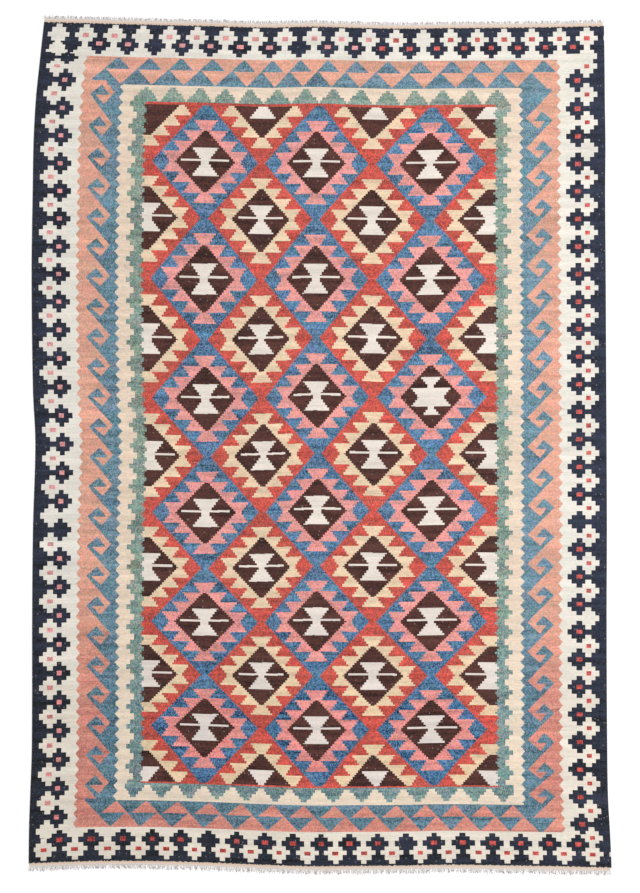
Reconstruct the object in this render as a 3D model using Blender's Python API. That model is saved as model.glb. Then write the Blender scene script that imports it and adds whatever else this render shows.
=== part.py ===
"""A flat-woven wool kilim laid flat, with a plain end band and a short cut fringe at each end.

Width runs along X, length along Y and the underside lies on the plane Z = 0. The far end is at +Y.
The edges wander as the hand-woven cloth does, so they are drawn through a few stations:
"across" runs from 0 at the left edge to 1 at the right, "along" from 0 at the near end to 1 at the far.
"""

import math
import random
from collections import namedtuple

import bpy

RUG_NAME = "kilim_rug"

# Driving sizes, in metres
CLOTH_THICKNESS = 0.003
BAND_THICKNESS = 0.0024
BAND_WIDTH = 0.012
PARTING_GAP = 0.0003

# Fringe
STRANDS_PER_END = 150
STRAND_ROOT_SHARE = 0.56
STRAND_TIP_WIDTH = 0.0042
STRAND_LEAN = 0.0018
SHORTEST_STRAND_SHARE = 0.72
FRINGE_SEED = 12

# How finely the outline is drawn
SIDE_STEPS = 72
END_STEPS = 60

# Distance of each long edge from the centre line
Side = namedtuple("Side", "along left right")
SIDES = (
    Side(0.00, 0.998, 1.000),
    Side(0.04, 0.997, 0.995),
    Side(0.08, 0.993, 0.988),
    Side(0.14, 0.987, 0.985),
    Side(0.30, 0.986, 0.983),
    Side(0.40, 0.983, 0.984),
    Side(0.50, 0.975, 0.983),
    Side(0.56, 0.983, 0.982),
    Side(0.70, 0.988, 0.980),
    Side(0.80, 0.984, 0.978),
    Side(0.86, 0.981, 0.979),
    Side(0.91, 0.973, 0.977),
    Side(0.95, 0.961, 0.976),
    Side(1.00, 0.945, 0.974),
)

# Distance of each end of the cloth from the middle of the rug
End = namedtuple("End", "across far near")
ENDS = (
    End(0.00, 1.454, 1.431),
    End(0.10, 1.449, 1.424),
    End(0.20, 1.444, 1.423),
    End(0.30, 1.440, 1.428),
    End(0.40, 1.435, 1.436),
    End(0.48, 1.438, 1.441),
    End(0.56, 1.434, 1.440),
    End(0.64, 1.431, 1.439),
    End(0.72, 1.433, 1.436),
    End(0.80, 1.434, 1.438),
    End(0.90, 1.436, 1.441),
    End(1.00, 1.440, 1.446),
)

# How far band and strands together stand beyond each end of the cloth
Reach = namedtuple("Reach", "across far near")
REACHES = (
    Reach(0.00, 0.020, 0.026),
    Reach(0.25, 0.026, 0.030),
    Reach(0.50, 0.027, 0.023),
    Reach(0.75, 0.025, 0.029),
    Reach(1.00, 0.020, 0.031),
)

WOOL_COLOUR = (0.38, 0.22, 0.19, 1.0)
WARP_COLOUR = (0.80, 0.68, 0.55, 1.0)
WOOL_ROUGHNESS = 0.92


def slope(stations, column, row):
    """Rise per step at one station, from the stations on either side of it."""
    before = stations[max(row - 1, 0)]
    after = stations[min(row + 1, len(stations) - 1)]
    return (getattr(after, column) - getattr(before, column)) / (after[0] - before[0])


def smooth_value(stations, column, place):
    """Read a column at a place between stations, along a smooth curve through all of them."""
    row = 0
    while row < len(stations) - 2 and place > stations[row + 1][0]:
        row += 1
    step = stations[row + 1][0] - stations[row][0]
    t = (place - stations[row][0]) / step
    start = getattr(stations[row], column)
    end = getattr(stations[row + 1], column)
    start_slope = slope(stations, column, row) * step
    end_slope = slope(stations, column, row + 1) * step
    from_start = start * (1 + 2 * t) * (1 - t) ** 2 + start_slope * t * (1 - t) ** 2
    from_end = end * t * t * (3 - 2 * t) - end_slope * t * t * (1 - t)
    return from_start + from_end


def edge_point(across, along):
    """Place on the cloth, at a fraction of its width and a fraction of its length."""
    left = -smooth_value(SIDES, "left", along)
    right = smooth_value(SIDES, "right", along)
    near = -smooth_value(ENDS, "near", across)
    far = smooth_value(ENDS, "far", across)
    return (left + (right - left) * across, near + (far - near) * along)


def fractions(steps):
    """Even fractions from 0 to 1."""
    return [step / steps for step in range(steps + 1)]


def cloth_outline():
    """Points round the cloth, anticlockwise from the near left corner."""
    near = [edge_point(across, 0.0) for across in fractions(END_STEPS)]
    right = [edge_point(1.0, along) for along in fractions(SIDE_STEPS)]
    far = [edge_point(across, 1.0) for across in fractions(END_STEPS)]
    left = [edge_point(0.0, along) for along in fractions(SIDE_STEPS)]
    return near + right[1:] + far[-2::-1] + left[-2:0:-1]


def end_point(end, across, beyond):
    """Place at a distance beyond one end of the cloth, on the drawn edge between two of its points."""
    along, outward = (1.0, 1.0) if end == "far" else (0.0, -1.0)
    step = min(int(across * END_STEPS), END_STEPS - 1)
    share = across * END_STEPS - step
    x_start, y_start = edge_point(step / END_STEPS, along)
    x_end, y_end = edge_point((step + 1) / END_STEPS, along)
    x = x_start + (x_end - x_start) * share
    y = y_start + (y_end - y_start) * share
    return (x, y + outward * beyond)


def strand_points(end, number, chance):
    """Four corners of one strand: root, tip, tip, root."""
    pitch = 1.0 / STRANDS_PER_END
    middle = (number + 0.5) * pitch
    half_root = pitch * STRAND_ROOT_SHARE / 2
    length_share = chance.uniform(SHORTEST_STRAND_SHARE, 1.0)
    reach = BAND_WIDTH + (smooth_value(REACHES, end, middle) - BAND_WIDTH) * length_share
    tip_x, tip_y = end_point(end, middle, reach)
    tip_x += chance.uniform(-STRAND_LEAN, STRAND_LEAN)
    half_tip = STRAND_TIP_WIDTH / 2
    return [
        end_point(end, middle - half_root, BAND_WIDTH),
        (tip_x - half_tip, tip_y),
        (tip_x + half_tip, tip_y),
        end_point(end, middle + half_root, BAND_WIDTH),
    ]


def fringe_outline(end):
    """Points round one end band and its comb of strands."""
    chance = random.Random(f"{FRINGE_SEED} {end}")
    points = [end_point(end, across, PARTING_GAP) for across in reversed(fractions(END_STEPS))]
    points.append(end_point(end, 0.0, BAND_WIDTH))
    for number in range(STRANDS_PER_END):
        points += strand_points(end, number, chance)
    points.append(end_point(end, 1.0, BAND_WIDTH))
    return points


def wool_material(name, colour):
    """Matt wool or cotton of one colour."""
    material = bpy.data.materials.new(name)
    material.use_nodes = True
    shader = material.node_tree.nodes["Principled BSDF"]
    shader.inputs["Base Color"].default_value = colour
    shader.inputs["Roughness"].default_value = WOOL_ROUGHNESS
    shader.inputs["Metallic"].default_value = 0.0
    return material


def middle_of(outlines):
    """Middle of the box round several outlines."""
    xs = [x for outline in outlines for x, _ in outline]
    ys = [y for outline in outlines for _, y in outline]
    return ((min(xs) + max(xs)) / 2, (min(ys) + max(ys)) / 2)


def flat_piece(name, outline, middle, thickness, material, collection, half_turn=False):
    """Cut a flat piece from its outline, resting on the plane Z = 0.

    With half_turn the piece is drawn the other way round, then turned back into its place.
    """
    side = -1.0 if half_turn else 1.0
    curve = bpy.data.curves.new(name, "CURVE")
    curve.dimensions = "2D"
    curve.fill_mode = "BOTH"
    curve.extrude = thickness / 2
    spline = curve.splines.new("POLY")
    spline.points.add(len(outline) - 1)
    for point, (x, y) in zip(spline.points, outline):
        point.co = (side * (x - middle[0]), side * (y - middle[1]), 0.0, 1.0)
    spline.use_cyclic_u = True
    curve.materials.append(material)
    piece = bpy.data.objects.new(name, curve)
    piece.location.z = thickness / 2
    piece.rotation_euler.z = math.pi if half_turn else 0.0
    collection.objects.link(piece)
    return piece


def clear_scene():
    """Remove the objects that a new file starts with."""
    for old in list(bpy.data.objects):
        bpy.data.objects.remove(old, do_unlink=True)


def main():
    """Build the cloth and its two fringed end bands."""
    clear_scene()
    collection = bpy.data.collections.new(RUG_NAME)
    bpy.context.scene.collection.children.link(collection)
    cloth = cloth_outline()
    far_fringe = fringe_outline("far")
    near_fringe = fringe_outline("near")
    middle = middle_of((cloth, far_fringe, near_fringe))
    wool = wool_material("dyed_wool", WOOL_COLOUR)
    flat_piece("kilim_cloth", cloth, middle, CLOTH_THICKNESS, wool, collection)
    far_warp = wool_material("far_warp", WARP_COLOUR)
    flat_piece("far_fringe", far_fringe, middle, BAND_THICKNESS, far_warp, collection)
    near_warp = wool_material("near_warp", WARP_COLOUR)
    flat_piece("near_fringe", near_fringe, middle, BAND_THICKNESS, near_warp, collection, half_turn=True)


main()
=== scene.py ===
"""A flat-woven wool kilim laid on a pale floor: its cloth, dyes, end bands and cut warp fringe.

The cloth is charted the way a weaver counts it. A warp is one rib of the cloth, counted from the
left edge, and a step is one small rise of the pattern, counted from the far end. Depth is how many
warps or steps a place lies in from the nearer edge. The chart is regular, and the unevenness of
hand weaving comes from three places: where each line of the chart lies on the cloth, the slack of
the field's rows, and the short lists of where the repeats of each border fall.

The sizes of the borders, the places of the repeats and the colours of the dyes were measured on
the photograph by other programs, then thinned or rounded. They weren't chosen by eye.
"""

import logging
import math
from dataclasses import dataclass, field
from enum import Enum, IntEnum
from typing import ClassVar

import bpy
import numpy as np
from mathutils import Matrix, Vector


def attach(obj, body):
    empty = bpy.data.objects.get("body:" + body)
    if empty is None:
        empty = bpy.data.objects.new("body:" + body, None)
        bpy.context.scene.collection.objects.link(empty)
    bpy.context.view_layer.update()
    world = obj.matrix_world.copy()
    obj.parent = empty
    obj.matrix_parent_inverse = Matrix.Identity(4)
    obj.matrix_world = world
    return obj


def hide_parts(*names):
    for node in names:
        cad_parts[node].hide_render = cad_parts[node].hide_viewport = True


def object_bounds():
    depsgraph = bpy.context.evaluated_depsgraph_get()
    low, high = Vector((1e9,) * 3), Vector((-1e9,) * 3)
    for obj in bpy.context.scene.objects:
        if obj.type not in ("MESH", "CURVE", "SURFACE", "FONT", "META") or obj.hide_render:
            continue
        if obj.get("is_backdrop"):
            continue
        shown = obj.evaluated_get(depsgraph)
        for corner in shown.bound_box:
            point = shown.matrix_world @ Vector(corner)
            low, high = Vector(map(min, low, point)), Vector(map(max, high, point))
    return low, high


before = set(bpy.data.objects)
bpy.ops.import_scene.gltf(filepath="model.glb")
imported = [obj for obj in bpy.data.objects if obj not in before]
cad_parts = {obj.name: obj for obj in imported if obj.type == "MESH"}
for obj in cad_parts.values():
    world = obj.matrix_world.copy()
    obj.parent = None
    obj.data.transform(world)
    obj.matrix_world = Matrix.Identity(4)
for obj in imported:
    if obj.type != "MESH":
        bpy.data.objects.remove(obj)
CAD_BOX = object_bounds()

log = logging.getLogger("kilim")

MM = 0.001

# The chart's size: warps across and steps along, each about 3.4 mm on the cloth
WARPS = 572.5
STEPS = 840.0
MIDDLE_WARP = WARPS / 2
FIELD_DEPTH = 110.5
FIELD_FIRST_STEP = 77.0
FIELD_LAST_STEP = 759.5

# A short table: a place, then its value
Table = tuple[tuple[float, float], ...]
# A slanted edge: how far it moves each step, then where it starts
Slant = tuple[float, float]


# ---------------------------------------------------------------------------------------------
# Nodes
# ---------------------------------------------------------------------------------------------


class Board:
    """A node tree that is filled from left to right by short calls."""

    ROW_HEIGHT = 170
    COLUMN_WIDTH = 190
    ROWS = 24

    def __init__(self, tree: bpy.types.NodeTree) -> None:
        """Start on an empty tree.

        Args:
            tree: The node tree to fill.
        """
        self.tree = tree
        self.count = 0

    def node(self, kind: str, **settings: object) -> bpy.types.Node:
        """Add a node and set its properties.

        Args:
            kind: The node's type name.
            settings: Properties of the node by name.

        Returns:
            The new node.
        """
        node = self.tree.nodes.new(kind)
        column, row = divmod(self.count, self.ROWS)
        node.location = (column * self.COLUMN_WIDTH, -row * self.ROW_HEIGHT)
        self.count += 1
        for name, value in settings.items():
            setattr(node, name, value)
        return node

    def feed(self, socket: bpy.types.NodeSocket, value: object) -> None:
        """Link a reading or socket to an input, or set the input to a plain value.

        Args:
            socket: The input.
            value: A Reading, an output socket, a number or a tuple.
        """
        if isinstance(value, Reading):
            value = value.socket
        if isinstance(value, bpy.types.NodeSocket):
            self.tree.links.new(value, socket)
        else:
            socket.default_value = value

    def fed(self, kind: str, inputs: dict[str | int, object], **settings: object) -> bpy.types.Node:
        """Add a node, set its properties and feed its inputs.

        Args:
            kind: The node's type name.
            inputs: What goes into its inputs, by their names or numbers.
            settings: Properties of the node by name.

        Returns:
            The new node.
        """
        node = self.node(kind, **settings)
        for label, value in inputs.items():
            self.feed(node.inputs[label], value)
        return node

    def math(self, operation: str, *values: object) -> "Reading":
        """Add a Math node.

        Args:
            operation: The node's operation.
            values: Its inputs in order.

        Returns:
            The result.
        """
        node = self.node("ShaderNodeMath", operation=operation)
        for socket, value in zip(node.inputs, values):
            self.feed(socket, value)
        return Reading(self, node.outputs[0])

    def noise(self, place: object, scale: float, detail: float = 2.0) -> "Reading":
        """Add a noise over a place.

        Args:
            place: A vector output.
            scale: Features per unit of the place.
            detail: Octaves.

        Returns:
            The noise, mostly between 0.25 and 0.75.
        """
        return Reading(self, self.noise_node(place, scale, detail).outputs["Fac"])

    def noise_node(self, place: object, scale: float, detail: float) -> bpy.types.Node:
        """Add a noise node over a place."""
        inputs = {"Vector": place, "Scale": scale, "Detail": detail}
        return self.fed("ShaderNodeTexNoise", inputs, noise_dimensions="3D")

    def relief(self, height: object, distance: float) -> bpy.types.NodeSocket:
        """Turn a height into a normal, with the distance between its 0 and its 1."""
        inputs = {"Strength": 1.0, "Distance": distance, "Height": height}
        return self.fed("ShaderNodeBump", inputs).outputs["Normal"]

    def place(self, x: object, y: object, z: object = 0.0) -> bpy.types.NodeSocket:
        """Join three readings or numbers into one vector output.

        Args:
            x: First part.
            y: Second part.
            z: Third part.

        Returns:
            The vector output.
        """
        node = self.node("ShaderNodeCombineXYZ")
        for socket, value in zip(node.inputs, (x, y, z)):
            self.feed(socket, value)
        return node.outputs[0]

    def vectors(self, operation: str, *values: object) -> bpy.types.NodeSocket:
        """Add a Vector Math node and give its vector.

        Args:
            operation: The node's operation.
            values: Its inputs in order.

        Returns:
            The vector output.
        """
        node = self.node("ShaderNodeVectorMath", operation=operation)
        for socket, value in zip(node.inputs, values):
            self.feed(socket, value)
        return node.outputs[0]

    def blend(
        self, factor: object, first: object, second: object, kind: str = "MIX"
    ) -> bpy.types.NodeSocket:
        """Mix two colours.

        Args:
            factor: 0 for the first, 1 for the second.
            first: A colour.
            second: A colour.
            kind: The blend type.

        Returns:
            The mixed colour.
        """
        inputs = {0: factor, 6: first, 7: second}
        return self.fed("ShaderNodeMix", inputs, data_type="RGBA", blend_type=kind).outputs[2]

    def colour_ramp(
        self, stops: list[tuple[float, tuple[float, ...]]], smooth: bool = True
    ) -> bpy.types.Node:
        """Add a colour ramp.

        Args:
            stops: Positions from 0 to 1, each with a colour.
            smooth: Whether the colours run into each other.

        Returns:
            The ramp node.
        """
        node = self.node("ShaderNodeValToRGB")
        ramp = node.color_ramp
        ramp.interpolation = "LINEAR" if smooth else "CONSTANT"
        while len(ramp.elements) > 1:
            ramp.elements.remove(ramp.elements[-1])
        ramp.elements[0].position = stops[0][0]
        ramp.elements[0].color = stops[0][1]
        for position, colour in stops[1:]:
            ramp.elements.new(position).color = colour
        return node


@dataclass(frozen=True)
class Reading:
    """A value that the nodes work out at every place of the cloth. A mask is a reading of 0 or 1."""

    # The longest staircase, in warps or steps
    STAIR_REACH: ClassVar[float] = 50.0

    board: Board
    socket: bpy.types.NodeSocket

    def _math(self, operation: str, *others: object) -> "Reading":
        """Add a Math node that starts with this reading."""
        return self.board.math(operation, self, *others)

    def __add__(self, other: object) -> "Reading":
        """Sum."""
        return self._math("ADD", other)

    def __sub__(self, other: object) -> "Reading":
        """Difference."""
        return self._math("SUBTRACT", other)

    def __rsub__(self, other: object) -> "Reading":
        """Difference from a number."""
        return self.board.math("SUBTRACT", other, self)

    def __mul__(self, other: object) -> "Reading":
        """Product."""
        return self._math("MULTIPLY", other)

    def __lt__(self, other: object) -> "Reading":
        """Mask of where this is the smaller."""
        return self._math("LESS_THAN", other)

    def __gt__(self, other: object) -> "Reading":
        """Mask of where this is the larger."""
        return self._math("GREATER_THAN", other)

    def __and__(self, other: object) -> "Reading":
        """Mask of where both are 1."""
        return self._math("MULTIPLY", other)

    def __or__(self, other: object) -> "Reading":
        """Mask of where either is 1."""
        return self._math("MAXIMUM", other)

    def __invert__(self) -> "Reading":
        """Mask of where this is 0."""
        return self.board.math("SUBTRACT", 1.0, self)

    def floor(self) -> "Reading":
        """Whole part."""
        return self._math("FLOOR")

    def fract(self) -> "Reading":
        """Part after the whole."""
        return self._math("FRACT")

    def absolute(self) -> "Reading":
        """Distance from zero."""
        return self._math("ABSOLUTE")

    def least(self, other: object) -> "Reading":
        """The smaller of two."""
        return self._math("MINIMUM", other)

    def most(self, other: object) -> "Reading":
        """The larger of two."""
        return self._math("MAXIMUM", other)

    def zigzag(self, rise: float) -> "Reading":
        """Go up to rise and back to 0, over and over."""
        return self._math("PINGPONG", rise)

    def scaled(self, by: float, plus: float) -> "Reading":
        """Multiply, then add."""
        return self._math("MULTIPLY_ADD", by, plus)

    def pick(self, inside: object, outside: object) -> "Reading":
        """Choose between two values with this mask.

        Args:
            inside: The value where the mask is 1.
            outside: The value where it is 0.

        Returns:
            The chosen value.
        """
        if not isinstance(inside, Reading) and not isinstance(outside, Reading):
            return self.scaled(float(inside) - float(outside), float(outside))
        node = self.board.fed("ShaderNodeMix", {0: self, 2: outside, 3: inside}, data_type="FLOAT")
        return Reading(self.board, node.outputs[0])

    def _table(self, table: Table, low: float, high: float, smooth: bool) -> "Reading":
        """Read a short table through a ramp whose alpha holds the values.

        Args:
            table: Places and values.
            low: Place at the ramp's start.
            high: Place at the ramp's end.
            smooth: Whether values run into each other.

        Returns:
            The value at this place.
        """
        bottom = min(value for _, value in table)
        span = max(value for _, value in table) - bottom
        stops = [
            ((at - low) / (high - low), (1.0, 1.0, 1.0, (value - bottom) / span)) for at, value in table
        ]
        node = self.board.colour_ramp(stops, smooth)
        self.board.feed(node.inputs[0], self.scaled(1.0 / (high - low), -low / (high - low)))
        return Reading(self.board, node.outputs["Alpha"]).scaled(span, bottom)

    def stairs(self, table: Table) -> "Reading":
        """Read a table of (from, value) that holds each value up to the next place."""
        low = table[0][0]
        return self._table(table, low, low + self.STAIR_REACH, smooth=False)

    def repeats(self, table: Table, reach: float) -> "Reading":
        """Turn a place into a count of repeats.

        Args:
            table: Places and the repeat that stands at each, at most a few of them.
            reach: The chart's extent that way. The first and last slopes go on to its ends.

        Returns:
            The repeat, whole at each repeat's centre.
        """
        (a, at_a), (b, at_b) = table[:2]
        (c, at_c), (d, at_d) = table[-2:]
        start = at_a - a * (at_b - at_a) / (b - a)
        stop = at_d + (reach - d) * (at_d - at_c) / (d - c)
        return self._table(((0.0, start), *table, (reach, stop)), 0.0, reach, smooth=True)


# ---------------------------------------------------------------------------------------------
# The chart
# ---------------------------------------------------------------------------------------------


class Dye(IntEnum):
    """The wools, in the order of the dye lists."""

    NAVY = 0
    IVORY = 1
    SALMON = 2
    BORDER_BLUE = 3
    CREAM = 4
    GREEN = 5
    RED = 6
    YELLOW = 7
    BROWN = 8
    FIELD_BLUE = 9
    PINK = 10
    WHITE = 11
    MARK_PINK = 12
    MARK_RED = 13


@dataclass(frozen=True)
class Place:
    """Where a point lies on the chart, already rounded to whole warps and steps."""

    warp: Reading
    step: Reading
    depth: Reading
    right: Reading


def slant_through(move: float, step: float, place: float) -> Slant:
    """Slanted edge that moves so far each step and passes a place at one step."""
    return move, place - step * move


@dataclass(frozen=True)
class Notches:
    """A toothed edge: where its zigzag starts, its rise, its slope, and how far it starts back."""

    start: float
    rise: float
    slope: float
    back: float

    def line(self, step: Reading, middle: float) -> Reading:
        """Depth of the edge at each step, about a middle depth."""
        return (step - self.start).zigzag(self.rise).scaled(self.slope, middle - self.back)


@dataclass(frozen=True)
class CrossBorder:
    """The outer border: ivory and navy crosses that stand against each other."""

    # Half-width of an ivory cross by depth: 0 at its centre line, 1 midway to the next one
    side_stairs: Table = (
        (0, 0), (7, 0.2), (11, 0.5), (15, 0.8), (21, 0.5), (25, 0.2), (30, 0.5), (35, 0.8), (39, 1.2)
    )
    end_stairs: Table = (
        (0, 0), (1.5, 0.2), (5, 0.5), (10, 0.8), (14.5, 0.5),
        (18.5, 0.2), (24, 0.5), (27.5, 0.8), (31, 1.2),
    )
    # Where a few of the crosses stand, in steps or warps, and which cross each is
    left_crosses: Table = ((27, -1), (43, 0), (292, 9), (577, 19), (807, 27))
    far_crosses: Table = ((16, 0), (156, 5), (277, 9), (417, 14), (555, 19))
    near_crosses: Table = ((15, 0), (110, 3), (219, 7), (411, 14), (554, 19))
    right_crosses: Table = ((40, 0), (260, 8), (507, 17), (809, 28))
    pitch: float = 28.0
    near_squash: float = 0.94
    near_start: float = 1.0
    near_first_warp: float = 5.0
    # Half the size of a mark, along the border and across it
    side_mark: tuple[float, float] = (2.1, 2.7)
    end_mark: tuple[float, float] = (2.9, 2.1)
    # How deep the marks lie in the ivory crosses and in the navy ones
    side_marks_at: tuple[float, float] = (18.0, 27.5)
    far_marks_at: tuple[float, float] = (12.2, 20.5)
    near_marks_at: tuple[float, float] = (13.5, 23.8)
    marks_from_depth: float = 9.0
    red_marks_from_warp: float = 340.0
    # Marks that the weaver left out: (from repeat, 1 where there is a mark)
    left_white_marks: Table = ((-3, 0), (0, 1), (16, 0), (17, 1), (27, 0))
    left_navy_marks: Table = ((-2, 0), (0, 1), (16, 0), (17, 1))
    right_white_marks: Table = ((-2, 1), (3, 0), (4, 1), (20, 0), (21, 1))
    far_white_marks: Table = ((-1, 0), (1, 1), (3, 0), (4, 1), (13, 0), (14, 1))
    far_navy_marks: Table = ((-1, 0), (1, 1), (3, 0), (4, 1), (8, 0), (9, 1))
    near_navy_marks: Table = ((-1, 1), (5, 0), (6, 1), (12, 0), (13, 1))
    # The far right corner starts with half a cross that runs up into the far border
    half_cross_to: float = 40.0
    half_cross_edge: float = 11.2
    half_cross_lobe_edge: float = 7.0
    half_cross_lobes: Table = ((30.0, 3.0), (40.0, 2.7))
    half_cross_unmarked_to: float = 35.0
    # The far left corner has one ivory lobe above its first side cross
    lobe_warp: float = 16.0
    lobe_step: float = 25.5
    lobe_halves: Table = ((8.0, 2.8), (5.5, 5.0))
    # The end borders turn into the side ones in the corners
    far_turn_depth: float = 38.0
    left_turn_step: float = 30.0
    right_turn_step: float = 27.4
    near_turn_depth: float = 22.0
    near_turn_rise: float = 25.6

    def crosses(self, depth: Reading, repeat: Reading, stairs: Table) -> Reading:
        """Mask of the ivory crosses.

        Args:
            depth: Distance from the edge.
            repeat: Count of crosses along the edge.
            stairs: Half-widths of the ivory cross by depth.

        Returns:
            The mask.
        """
        off = (repeat.scaled(1.0, 0.5).fract() - 0.5).absolute() * 2.0
        return off < depth.stairs(stairs)

    def marks(
        self,
        depth: Reading,
        repeat: Reading,
        at: float,
        kept: Table | None,
        shift: float,
        size: tuple[float, float],
    ) -> Reading:
        """Mask of the small oblongs in the middle of the crosses of one colour.

        Args:
            depth: Distance from the edge.
            repeat: Count of crosses along the edge.
            at: Depth of the marks.
            kept: Which repeats have a mark, or None for all of them.
            shift: 0 for the ivory crosses, 0.5 for the navy ones.
            size: Half the mark along the border and across it.

        Returns:
            The mask.
        """
        moved = repeat.scaled(1.0, 0.5 - shift)
        near = (moved.fract() - 0.5).absolute() < size[0] / self.pitch
        mask = near & ((depth - at).absolute() < size[1])
        return mask if kept is None else mask & moved.floor().scaled(1.0, 0.5).stairs(kept)

    def side(self, at: Place) -> Reading:
        """Dye of the border down the left and right sides.

        Args:
            at: Place on the chart.

        Returns:
            The dye's number.
        """
        count = at.right.pick(
            at.step.repeats(self.right_crosses, STEPS), at.step.repeats(self.left_crosses, STEPS)
        )
        white = self.crosses(at.depth, count, self.side_stairs)
        (first, first_half), (second, second_half) = self.half_cross_lobes
        lobes = (at.step - first).absolute() < first_half
        lobes = lobes | ((at.step - second).absolute() < second_half)
        half_cross = (at.depth > self.half_cross_edge) | ((at.depth > self.half_cross_lobe_edge) & lobes)
        white = (at.right & (at.step < self.half_cross_to)).pick(half_cross, white)
        dye = white.pick(Dye.IVORY, Dye.NAVY)
        ivory_at, navy_at = self.side_marks_at
        on_ivory = at.right.pick(
            self.marks(at.depth, count, ivory_at, self.right_white_marks, 0.0, self.side_mark),
            self.marks(at.depth, count, ivory_at, self.left_white_marks, 0.0, self.side_mark),
        )
        on_navy = self.marks(at.depth, count, navy_at, self.left_navy_marks, 0.5, self.side_mark)
        unmarked = at.right & (at.step < self.half_cross_unmarked_to)
        mark = at.right.pick(Dye.MARK_RED, Dye.MARK_PINK)
        return ((on_ivory | on_navy) & ~unmarked).pick(mark, dye)

    def far(self, at: Place) -> Reading:
        """Dye of the border along the far end, with its corners.

        Args:
            at: Place on the chart.

        Returns:
            The dye's number.
        """
        count = at.warp.repeats(self.far_crosses, WARPS)
        dye = self.crosses(at.step, count, self.end_stairs).pick(Dye.IVORY, Dye.NAVY)
        ivory_at, navy_at = self.far_marks_at
        on_ivory = self.marks(at.step, count, ivory_at, self.far_white_marks, 0.0, self.end_mark)
        on_navy = self.marks(at.step, count, navy_at, self.far_navy_marks, 0.5, self.end_mark)
        mark = (at.warp > self.red_marks_from_warp).pick(Dye.MARK_RED, Dye.MARK_PINK)
        dye = ((on_ivory | on_navy) & (at.depth > self.marks_from_depth)).pick(mark, dye)
        across, down = (at.warp - self.lobe_warp).absolute(), (at.step - self.lobe_step).absolute()
        (wide, low), (narrow, tall) = self.lobe_halves
        lobe = ((across < wide) & (down < low)) | ((across < narrow) & (down < tall))
        dye = (lobe & ~at.right).pick(Dye.IVORY, dye)
        turned = at.step > at.right.pick(self.right_turn_step, self.left_turn_step)
        return (turned & (at.depth < self.far_turn_depth)).pick(self.side(at), dye)

    def near(self, at: Place) -> Reading:
        """Dye of the border along the near end, with its corners.

        Args:
            at: Place on the chart.

        Returns:
            The dye's number.
        """
        rise = STEPS - at.step
        count = at.warp.repeats(self.near_crosses, WARPS)
        depth = (rise - self.near_start) * self.near_squash
        white = self.crosses(depth, count, self.end_stairs) & (at.warp > self.near_first_warp)
        dye = white.pick(Dye.IVORY, Dye.NAVY)
        ivory_at, navy_at = self.near_marks_at
        on_ivory = self.marks(rise, count, ivory_at, None, 0.0, self.end_mark)
        on_navy = self.marks(rise, count, navy_at, self.near_navy_marks, 0.5, self.end_mark)
        dye = ((on_ivory | on_navy) & (at.depth > self.marks_from_depth)).pick(Dye.MARK_RED, dye)
        turned = (at.depth < self.near_turn_depth) & (rise > self.near_turn_rise)
        return turned.pick(self.side(at), dye)


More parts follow.
